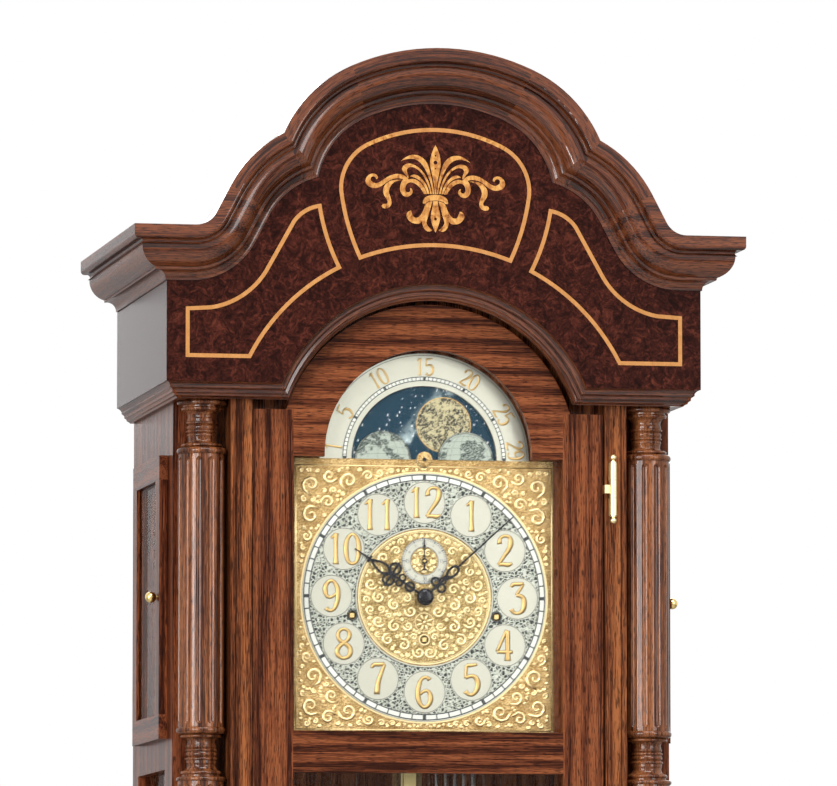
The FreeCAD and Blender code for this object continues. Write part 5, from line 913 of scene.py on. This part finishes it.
# The plate's corners and borders in raised scrolls
def dressPlate():
    size = {"face": frontY + 0.062, "half": 137.0, "low": -139.5, "high": 137.5, "ring": 134.2,
            "border": (138.4, 137.8, -140.8, 139.2, 0.6), "band": (134.0, 132.3),
            "curls": (12.5, 9.4, 7.2, 5.8, 4.6, 3.7, 2.9, 2.3, 1.8, 1.4), "seed": 23}

    def clear(x, z, room):
        return abs(x) < size["half"] - 1.5 - room and size["low"] + room < z < size["high"] - room \
            and math.hypot(x, z) > size["ring"] + room

    reach = (0, size["half"], size["low"], size["high"])
    lines = packCurls(clear, reach, size["curls"], size["seed"], 1.95, 2600)
    scrolls = drawLines(mirrored(lines), (0, dialZ), size["face"], 0.62, 1, 1)
    finishPiece(scrolls, "cornerScrolls", "case", "giltScroll")
    side, end, low, high, half = size["border"]
    border = [[(-end, level, half), (end, level, half)] for level in (low, high)]
    border += [[(x, low, half), (x, high, half)] for x in (-side, side)]
    lines = drawLines(border, (0, dialZ), size["face"], 0.6, 1, 1)
    ring = makeBand(*size["band"], (0, dialZ), size["face"], 1.0)
    finishPiece(joinPieces([lines, ring]), "plateBorders", "case", "giltScroll")


# The moon arch: day numbers and track on its ring, the drawn half globes, and the painted sky behind
def dressArch():
    size = {"face": frontY + 0.061, "numbers": 99.0, "tall": 18.5, "track": (84.4, 88.2), "line": 0.45,
            "outer": (111.6, 111.1), "span": (0.6, 178.8), "humps": 44.7, "hump": 30.0, "globe": 0.93,
            "window": (83.6, 78.75), "windowFace": frontY + 0.0617, "skyFace": frontY + 0.0643,
            "moonAt": (21.4, 37.7), "moon": 29.0, "sky": (12, 79), "stars": 170, "seed": 7}
    spot = (0, archZ)
    face = size["face"]
    numbers = []
    for text, day in (("1", 1.2), ("5", 5), ("10", 10), ("15", 15), ("20", 20), ("25", 25), ("29", 28.9)):
        numbers += turnedLines(writeNumber(text, size["tall"], 0, size["numbers"], 1.05), 90 - 6 * day)
    figure = drawLines(numbers, spot, face, 0.25, 4, 1)
    finishPiece(figure, "dayNumbers", "case", "numeralGold")
    low, high = size["track"]
    marks = [makeBand(edge + size["line"], edge - size["line"], spot, face, 0.1, *size["span"])
             for edge in (high, low)]
    marks += [makeBand(*size["outer"], spot, face, 0.1, *size["span"]),
              makeTicks(59, (low + high) / 2, 0.8, high - low, spot, face, 0.12, 3.0, 174.0),
              makeTicks(7, (low + high) / 2, 3.0, 3.4, spot, face, 0.16, 0.9, 178.2)]
    finishPiece(joinPieces(marks), "dayTrack", "case", "dialInk")
    white = makeBand(high, low, spot, face, 0.06, *size["span"])
    finishPiece(white, "dayTrackGround", "case", "trackWhite")
    edge = makeBand(*size["window"], spot, size["windowFace"], 0.5, 0.4, 179.2)
    finishPiece(edge, "windowEdge", "case", "satinSilver")

    lines = []
    globe = size["hump"] * size["globe"]
    for middle in (-size["humps"], size["humps"]):
        for lean in (-60, -36, -12, 12, 36, 60):
            wide = globe * math.sin(math.radians(lean))
            turns = [math.radians(up) for up in range(2, 89, 8)]
            lines.append([(middle + wide * math.cos(t), globe * math.sin(t), 0.1) for t in turns])
        for up in (12, 28, 46, 66):
            reach, level = globe * math.cos(math.radians(up)), globe * math.sin(math.radians(up))
            lines.append([(middle + reach * k / 4, level - (k / 4) ** 2 * 1.2, 0.1) for k in range(-4, 5)])
    rims = [drawLines(lines, spot, face, 0.5, 2, 0)]
    edges = [(size["hump"] * 0.965, size["hump"] * 0.945), (size["hump"] - 0.1, size["hump"] - 0.4)]
    for middle in (-size["humps"], size["humps"]):
        rims += [makeBand(*edge, spotAt(middle, 0, archZ), face, 0.1, 1, 178, 90) for edge in edges]
    finishPiece(joinPieces(rims), "globeLines", "case", "dialInk")

    x, z = size["moonAt"]
    centres = [spotAt(side * x, side * z, archZ) for side in (1, -1)]
    moons = []
    for across, up in centres:
        selectNone()
        bpy.ops.mesh.primitive_cylinder_add(vertices=96, radius=size["moon"] / 1000, depth=0.0003,
                                            rotation=(math.pi / 2, 0, 0),
                                            location=(across, size["skyFace"] - 0.00015, up))
        disc = bpy.context.object
        soft = disc.modifiers.new("soft", "BEVEL")
        soft.width = 0.0001
        soft.segments = 2
        applyAll(disc)
        moons.append(disc)
    finishPiece(joinPieces(moons), "moons", "moon_work", "moonFace")
    rings = [makeBand(size["moon"] + 0.5, size["moon"] - 0.4, centre, size["skyFace"], 0.4, steps=96)
             for centre in centres]
    finishPiece(joinPieces(rings), "moonRims", "moon_work", "numeralGold")

    dice = random.Random(size["seed"])
    stars = []
    low, high = size["sky"]
    while len(stars) < size["stars"]:
        turn, away = dice.uniform(0, 2 * math.pi), high * math.sqrt(dice.random())
        a, b = away * math.cos(turn), away * math.sin(turn)
        offMoons = min(math.hypot(a - x, b - z), math.hypot(a + x, b + z))
        if away < low or offMoons < size["moon"] + 1.5:
            continue
        half = dice.choice((0.4, 0.55, 0.75, 1.0, 1.3))
        stars.append([(a - half * 0.3, b, half), (a + half * 0.3, b, half)])
    bright = [line[0][:2] for line in stars if line[0][2] > 0.5]
    for first, second in zip(bright[::9], bright[1::9]):
        if math.dist(first, second) < 26:
            stars.append([(*first, 0.09), (*second, 0.09)])
    points = drawLines(stars, spot, size["skyFace"], 0.25, 1, 1)
    finishPiece(points, "stars", "moon_work", "starWhite")


# Turned caps: the dark dome that covers the hands' nut, and the gilt stud that the moon disc turns on
def makeCap(radius, rise, centreZ, face, pin):
    selectNone()
    bpy.ops.mesh.primitive_circle_add(vertices=48, radius=radius, fill_type="NGON",
                                      rotation=(math.pi / 2, 0, 0), location=(0, face, centreZ))
    piece = bpy.context.object
    applyAll(piece)
    editAll()
    steps = [(0.12, 0.0), (0.35, 0.06), (0.62, 0.18), (0.82, 0.36), (0.95, 0.58), (1.0, 0.70)]
    last = shrunk = 0.0
    for up, inward in steps:
        bpy.ops.mesh.extrude_region_move(TRANSFORM_OT_translate={"value": (0, -(up - last) * rise, 0)})
        size = (1 - inward) / (1 - shrunk)
        bpy.ops.transform.resize(value=(size, 1, size), center_override=(0, face - up * rise, centreZ))
        last, shrunk = up, inward
    bpy.ops.mesh.extrude_region_move(TRANSFORM_OT_translate={"value": (0, -pin, 0)})
    bpy.ops.object.mode_set(mode="OBJECT")
    tidyMesh(piece)
    bpy.ops.object.shade_smooth_by_angle(angle=math.radians(40))
    return piece


def makeCaps():
    size = {"cap": (0.0079, 0.0019, dialZ, frontY + 0.0526, 0.0),
            "stud": (0.0083, 0.0006, archZ, frontY + 0.0604, 0.0004),
            "screw": (0.0022, 0.0005, archZ, frontY + 0.0594, 0.0)}
    finishPiece(makeCap(*size["cap"]), "handsCap", "minute_work", "blackenedSteel")
    finishPiece(makeCap(*size["stud"]), "moonStudCap", "case", "giltGround")
    finishPiece(makeCap(*size["screw"]), "moonStudScrew", "case", "blackenedSteel")


# Cables: two falls down to the pulley, the loop under its pulley, and the turns on the drum
def makeCables():
    size = {"spread": 14, "thick": 0.6, "pulley": 0.92, "board": 1.546, "set": frontY + 0.107,
            "coil": 13.85, "coilBack": 0.001, "turns": 5, "pitch": 1.3, "corners": 16, "end": (0, 14, 21)}
    drums = {"left": (-0.078, 1.6265), "centre": (0.0, 1.6015), "right": (0.078, 1.6265)}
    spread, thick = size["spread"], size["thick"]
    for side, (x, drumZ) in drums.items():
        fall = (size["board"] - size["pulley"]) * 1000
        falls = [[(way, fall * k / 6, thick) for k in range(7)] for way in (-spread, spread)]
        strand = drawLines(falls, (x, size["pulley"]), size["set"], 1.0, 1, 2)
        finishPiece(strand, side + "CableFalls", "case", "brightSteel")
        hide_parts(side + "_cable")
        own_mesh(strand)   # the weight rises 0.56 m
        angles = [math.radians(t) for t in range(0, 181, 10)]
        loop = [(spread * math.cos(t), -spread * math.sin(t), thick) for t in angles]
        under = drawLines([loop], (x, size["pulley"]), size["set"], 1.0, 2, 2)
        finishPiece(under, side + "CableLoop", side + "_weight_set", "brightSteel")
        lead = (drumZ - size["board"]) * 1000
        upper = drawLines([[(-spread, lead * k / 4, thick) for k in range(5)],
                           [(spread, up, thick) for up in size["end"]]],
                          (x, size["board"]), size["set"], 1.0, 1, 2)
        finishPiece(upper, side + "CableLead", "case", "brightSteel")
        coil = []
        for k in range(size["turns"] * size["corners"] + 1):
            turn = 2 * math.pi * k / size["corners"]
            coil.append((size["coil"] * math.cos(turn), size["coil"] * math.sin(turn), thick,
                         size["pitch"] * k / size["corners"]))
        wound = drawLines([coil], (x, drumZ), size["set"] - size["coilBack"], 1.0, 2, 1)
        finishPiece(wound, side + "CableTurns", side + "_drum_work", "brightSteel")


# Back rail: a thin board with eased edges that closes the case between the base and the trunk's floor
def makeBackRail():
    size = {"half": 0.2582, "low": 0.4703, "high": 0.5017, "thick": 0.006, "back": 0.1894, "ease": 0.0012}
    selectNone()
    bpy.ops.mesh.primitive_cube_add(size=1, location=(0, size["back"] - size["thick"] / 2,
                                                      (size["low"] + size["high"]) / 2))
    rail = bpy.context.object
    rail.scale = (size["half"] * 2, size["thick"], size["high"] - size["low"])
    applyAll(rail)
    eased = rail.modifiers.new("eased", "BEVEL")
    eased.width = size["ease"]
    eased.segments = 3
    applyAll(rail)
    finishPiece(rail, "backRail", "case", "walnutLevel")


stages = {"hour ring": dressHourRing, "centre": dressCentre, "plate": dressPlate, "arch": dressArch,
          "caps": makeCaps, "back rail": makeBackRail, "cables": makeCables, "stage": setStage}
for stage, make in stages.items():
    make()
    print(stage, "done")
